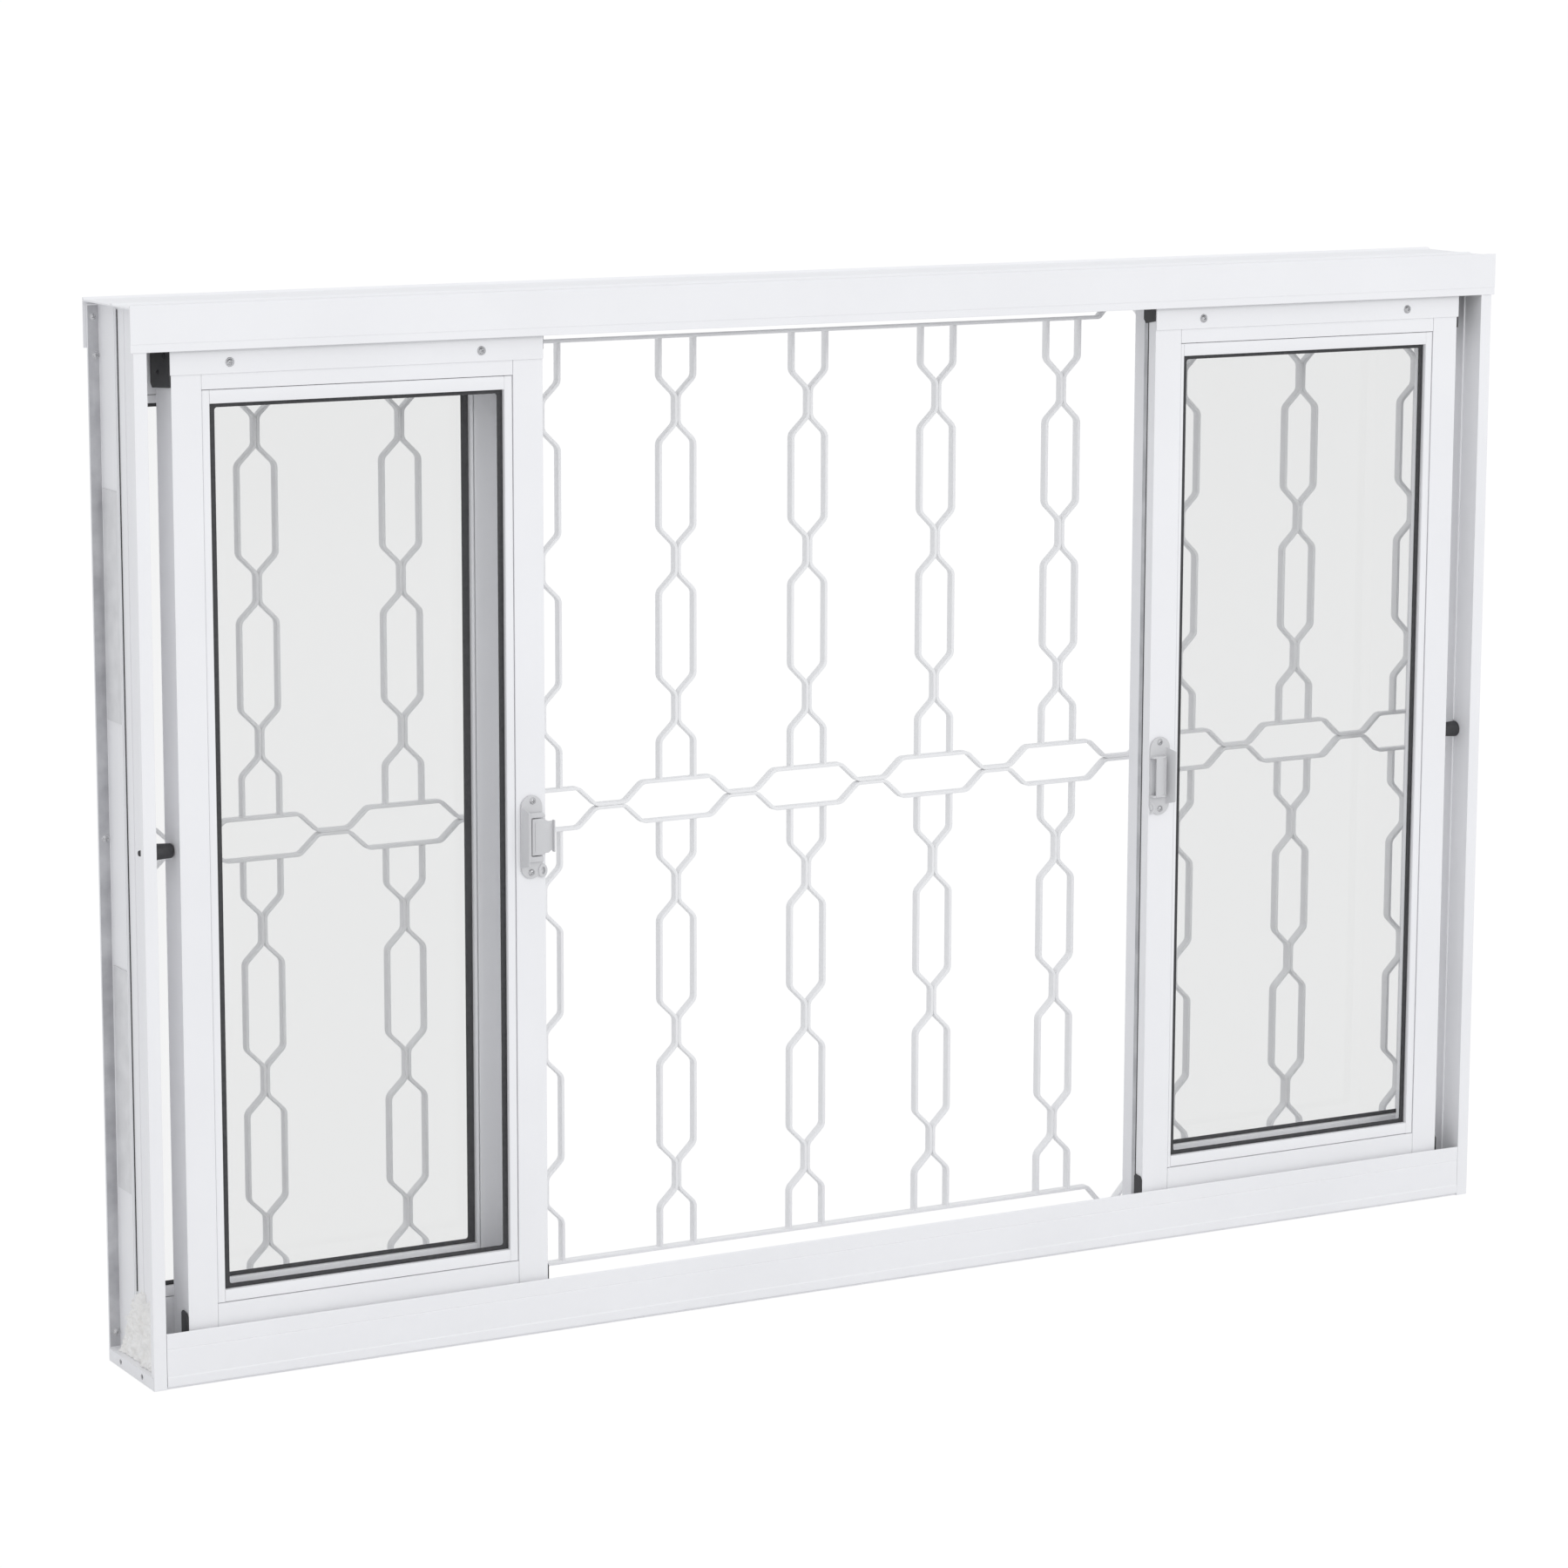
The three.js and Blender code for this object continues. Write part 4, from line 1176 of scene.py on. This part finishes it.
def add_channel_details(side):
    """Bare metal inside the rear flange, darkened further with painted shade, and a black strip of painted
    shade along the web's rib.
    """
    sign = SIDES[side]
    flange = span(side + "_jamb")[1].y - WALL
    # The flange skin is bare metal, made darker still as painted shade of the deep channel.
    bm = bmesh.new()
    flange_edges = (736.1, 746.4)
    across = sorted(sign * x for x in flange_edges)
    slab(bm, rectangle(*across, 13.2, 992.5), [], facing_room(flange), 0.12, 0.04, 1)
    finish_piece(bm, side + "_flange_skin", "frame", PAINTED_SHADE_METAL)
    bm = bmesh.new()
    # The black strip on the web is painted shade of the slit beside the rib.
    rib_face = 9.2 + DEPTH_SHIFT
    across = sorted((sign * WEB_X, sign * (WEB_X + 1.0)))
    upright(bm, rectangle(*across, rib_face - 0.4, rib_face), (FILLER_TOP, 992), 0.15)
    finish_piece(bm, side + "_web_slit_shade", "frame", RUBBER)


def filler_height(y, z):
    """Thickness of the filler over the web: a ragged heap, deepest on the sill."""
    ragged = 9 * noise.noise(Vector((y * 0.11, z * 0.11, 3)))
    ragged += 5 * noise.noise(Vector((y * 0.35, z * 0.3, 7)))
    behind = y - FILLER_CREST
    peak = FILLER_TOP + 0.25 * min(0, behind) - 0.026 * max(0, behind) ** 2
    inside = min(peak + ragged - z, y - FILLER_FRONT + ragged * 0.4)
    if inside < 0:
        return 0.0
    lumps = noise.fractal(Vector((y * 0.13, z * 0.1, 11)), 0.8, 2.1, 5)
    return min(inside * 0.5, 1) * max(0.5, 3.0 + 3.4 * lumps + 2.2 * max(0, 30 - z) / 18)


def add_filler():
    """Filler squeezed out low in the left channel, heaped on the sill's end."""
    web = -WEB_X - 0.05
    floor = 12.4
    ys = [FILLER_FRONT - 1 + FILLER_STEP * k for k in range(125)]
    zs = [floor + FILLER_STEP * k for k in range(102)]
    heights = {(j, k): filler_height(y, z) for j, y in enumerate(ys) for k, z in enumerate(zs)}
    bm = bmesh.new()
    outer = {}
    inner = {}

    def corner(cell):
        if cell not in outer:
            y = ys[cell[0]] + DEPTH_SHIFT
            z = zs[cell[1]]
            outer[cell] = bm.verts.new((web - 0.1 - min(heights[cell], FILLER_MOST), y, z))
            inner[cell] = bm.verts.new((web, y, z))
        return outer[cell], inner[cell]

    for j in range(len(ys) - 1):
        for k in range(len(zs) - 1):
            cells = [(j, k), (j + 1, k), (j + 1, k + 1), (j, k + 1)]
            if max(heights[c] for c in cells) <= 0:
                continue
            pairs = [corner(c) for c in cells]
            bm.faces.new([p[0] for p in pairs])
            bm.faces.new([p[1] for p in pairs[::-1]])
    rim = [edge for edge in bm.edges if edge.is_boundary]
    lookup = {id(outer[c]): inner[c] for c in outer}
    for edge in rim:
        a, b = edge.verts
        if id(a) in lookup and id(b) in lookup:
            bm.faces.new((a, b, lookup[id(b)], lookup[id(a)]))
    finish_piece(bm, "filler", "frame", SEALANT, (), 80)


for each in SIDES:
    add_channel_details(each)
add_filler()


# ---------------------------------------------------------------- stage


def floor_material():
    """Pale studio floor: white to the eye but for soft shadows, and plain matt to all other light."""
    material, nodes, links, output = new_material("floor")
    seen = principled(nodes, links, output)
    seen.inputs["Base Color"].default_value = (0.1, 0.1, 0.1, 1)
    seen.inputs["Roughness"].default_value = 1.0
    seen.inputs["Specular IOR Level"].default_value = 0.0
    seen.inputs["Emission Color"].default_value = (1, 1, 1, 1)
    seen.inputs["Emission Strength"].default_value = 0.93
    matt = nodes.new("ShaderNodeBsdfDiffuse")
    matt.inputs["Color"].default_value = (0.85, 0.85, 0.85, 1)
    path = nodes.new("ShaderNodeLightPath")
    mix = nodes.new("ShaderNodeMixShader")
    links.new(path.outputs["Is Camera Ray"], mix.inputs["Fac"])
    links.new(matt.outputs["BSDF"], mix.inputs[1])
    links.new(seen.outputs["BSDF"], mix.inputs[2])
    links.new(mix.outputs["Shader"], output.inputs["Surface"])
    return material


def add_floor():
    bm = bmesh.new()
    bmesh.ops.create_grid(bm, x_segments=1, y_segments=1, size=150)
    mesh = bpy.data.meshes.new("floor")
    bm.to_mesh(mesh)
    bm.free()
    floor = bpy.data.objects.new("floor", mesh)
    bpy.context.scene.collection.objects.link(floor)
    mesh.materials.append(floor_material())


def add_world():
    world = bpy.data.worlds.new("studio")
    bpy.context.scene.world = world
    world.use_nodes = True
    nodes = world.node_tree.nodes
    links = world.node_tree.links
    nodes.clear()
    output = nodes.new("ShaderNodeOutputWorld")
    room = nodes.new("ShaderNodeBackground")
    room.inputs["Color"].default_value = (0.97, 0.98, 1.0, 1)
    room.inputs["Strength"].default_value = 0.85
    white = nodes.new("ShaderNodeBackground")
    white.inputs["Color"].default_value = (1, 1, 1, 1)
    white.inputs["Strength"].default_value = 1.0
    path = nodes.new("ShaderNodeLightPath")
    mix = nodes.new("ShaderNodeMixShader")
    links.new(path.outputs["Is Camera Ray"], mix.inputs["Fac"])
    links.new(room.outputs["Background"], mix.inputs[1])
    links.new(white.outputs["Background"], mix.inputs[2])
    links.new(mix.outputs["Shader"], output.inputs["Surface"])


def add_softbox(name, place, target, size, power):
    light = bpy.data.lights.new(name, "AREA")
    light.shape = "RECTANGLE"
    light.size, light.size_y = size
    light.energy = power
    holder = bpy.data.objects.new(name, light)
    holder.location = place
    aim = Vector(target) - Vector(place)
    holder.rotation_mode = "QUATERNION"
    holder.rotation_quaternion = aim.to_track_quat("-Z", "Y")
    bpy.context.scene.collection.objects.link(holder)


def add_camera():
    azimuth = math.radians(28.895)
    elevation = math.radians(10.136)
    roll = math.radians(0.159)
    camera = bpy.data.cameras.new("camera")
    camera.lens = 112.34
    camera.sensor_width = 36.0
    camera.clip_end = 500
    holder = bpy.data.objects.new("camera", camera)
    forward = Vector(
        (
            math.sin(azimuth) * math.cos(elevation),
            math.cos(azimuth) * math.cos(elevation),
            -math.sin(elevation),
        )
    )
    level_right = Vector((math.cos(azimuth), -math.sin(azimuth), 0))
    level_up = level_right.cross(forward)
    right = level_right * math.cos(roll) + level_up * math.sin(roll)
    up = level_up * math.cos(roll) - level_right * math.sin(roll)
    turn = Matrix((right, up, -forward)).transposed().to_4x4()
    place = (-2.33895, -4.13934 + DEPTH_SHIFT * MM, 1.34777)
    holder.matrix_world = Matrix.Translation(place) @ turn
    bpy.context.scene.collection.objects.link(holder)
    bpy.context.scene.camera = holder


add_floor()
add_world()
add_softbox("key", place=(0.6, -5.6, 3.0), target=(0, 0, 0.5), size=(2.4, 2.0), power=54)
add_softbox("top", place=(0, 0.3, 4.0), target=(0, 0, 1.0), size=(4.0, 3.0), power=5)
add_camera()
bpy.context.scene.view_settings.view_transform = "Standard"
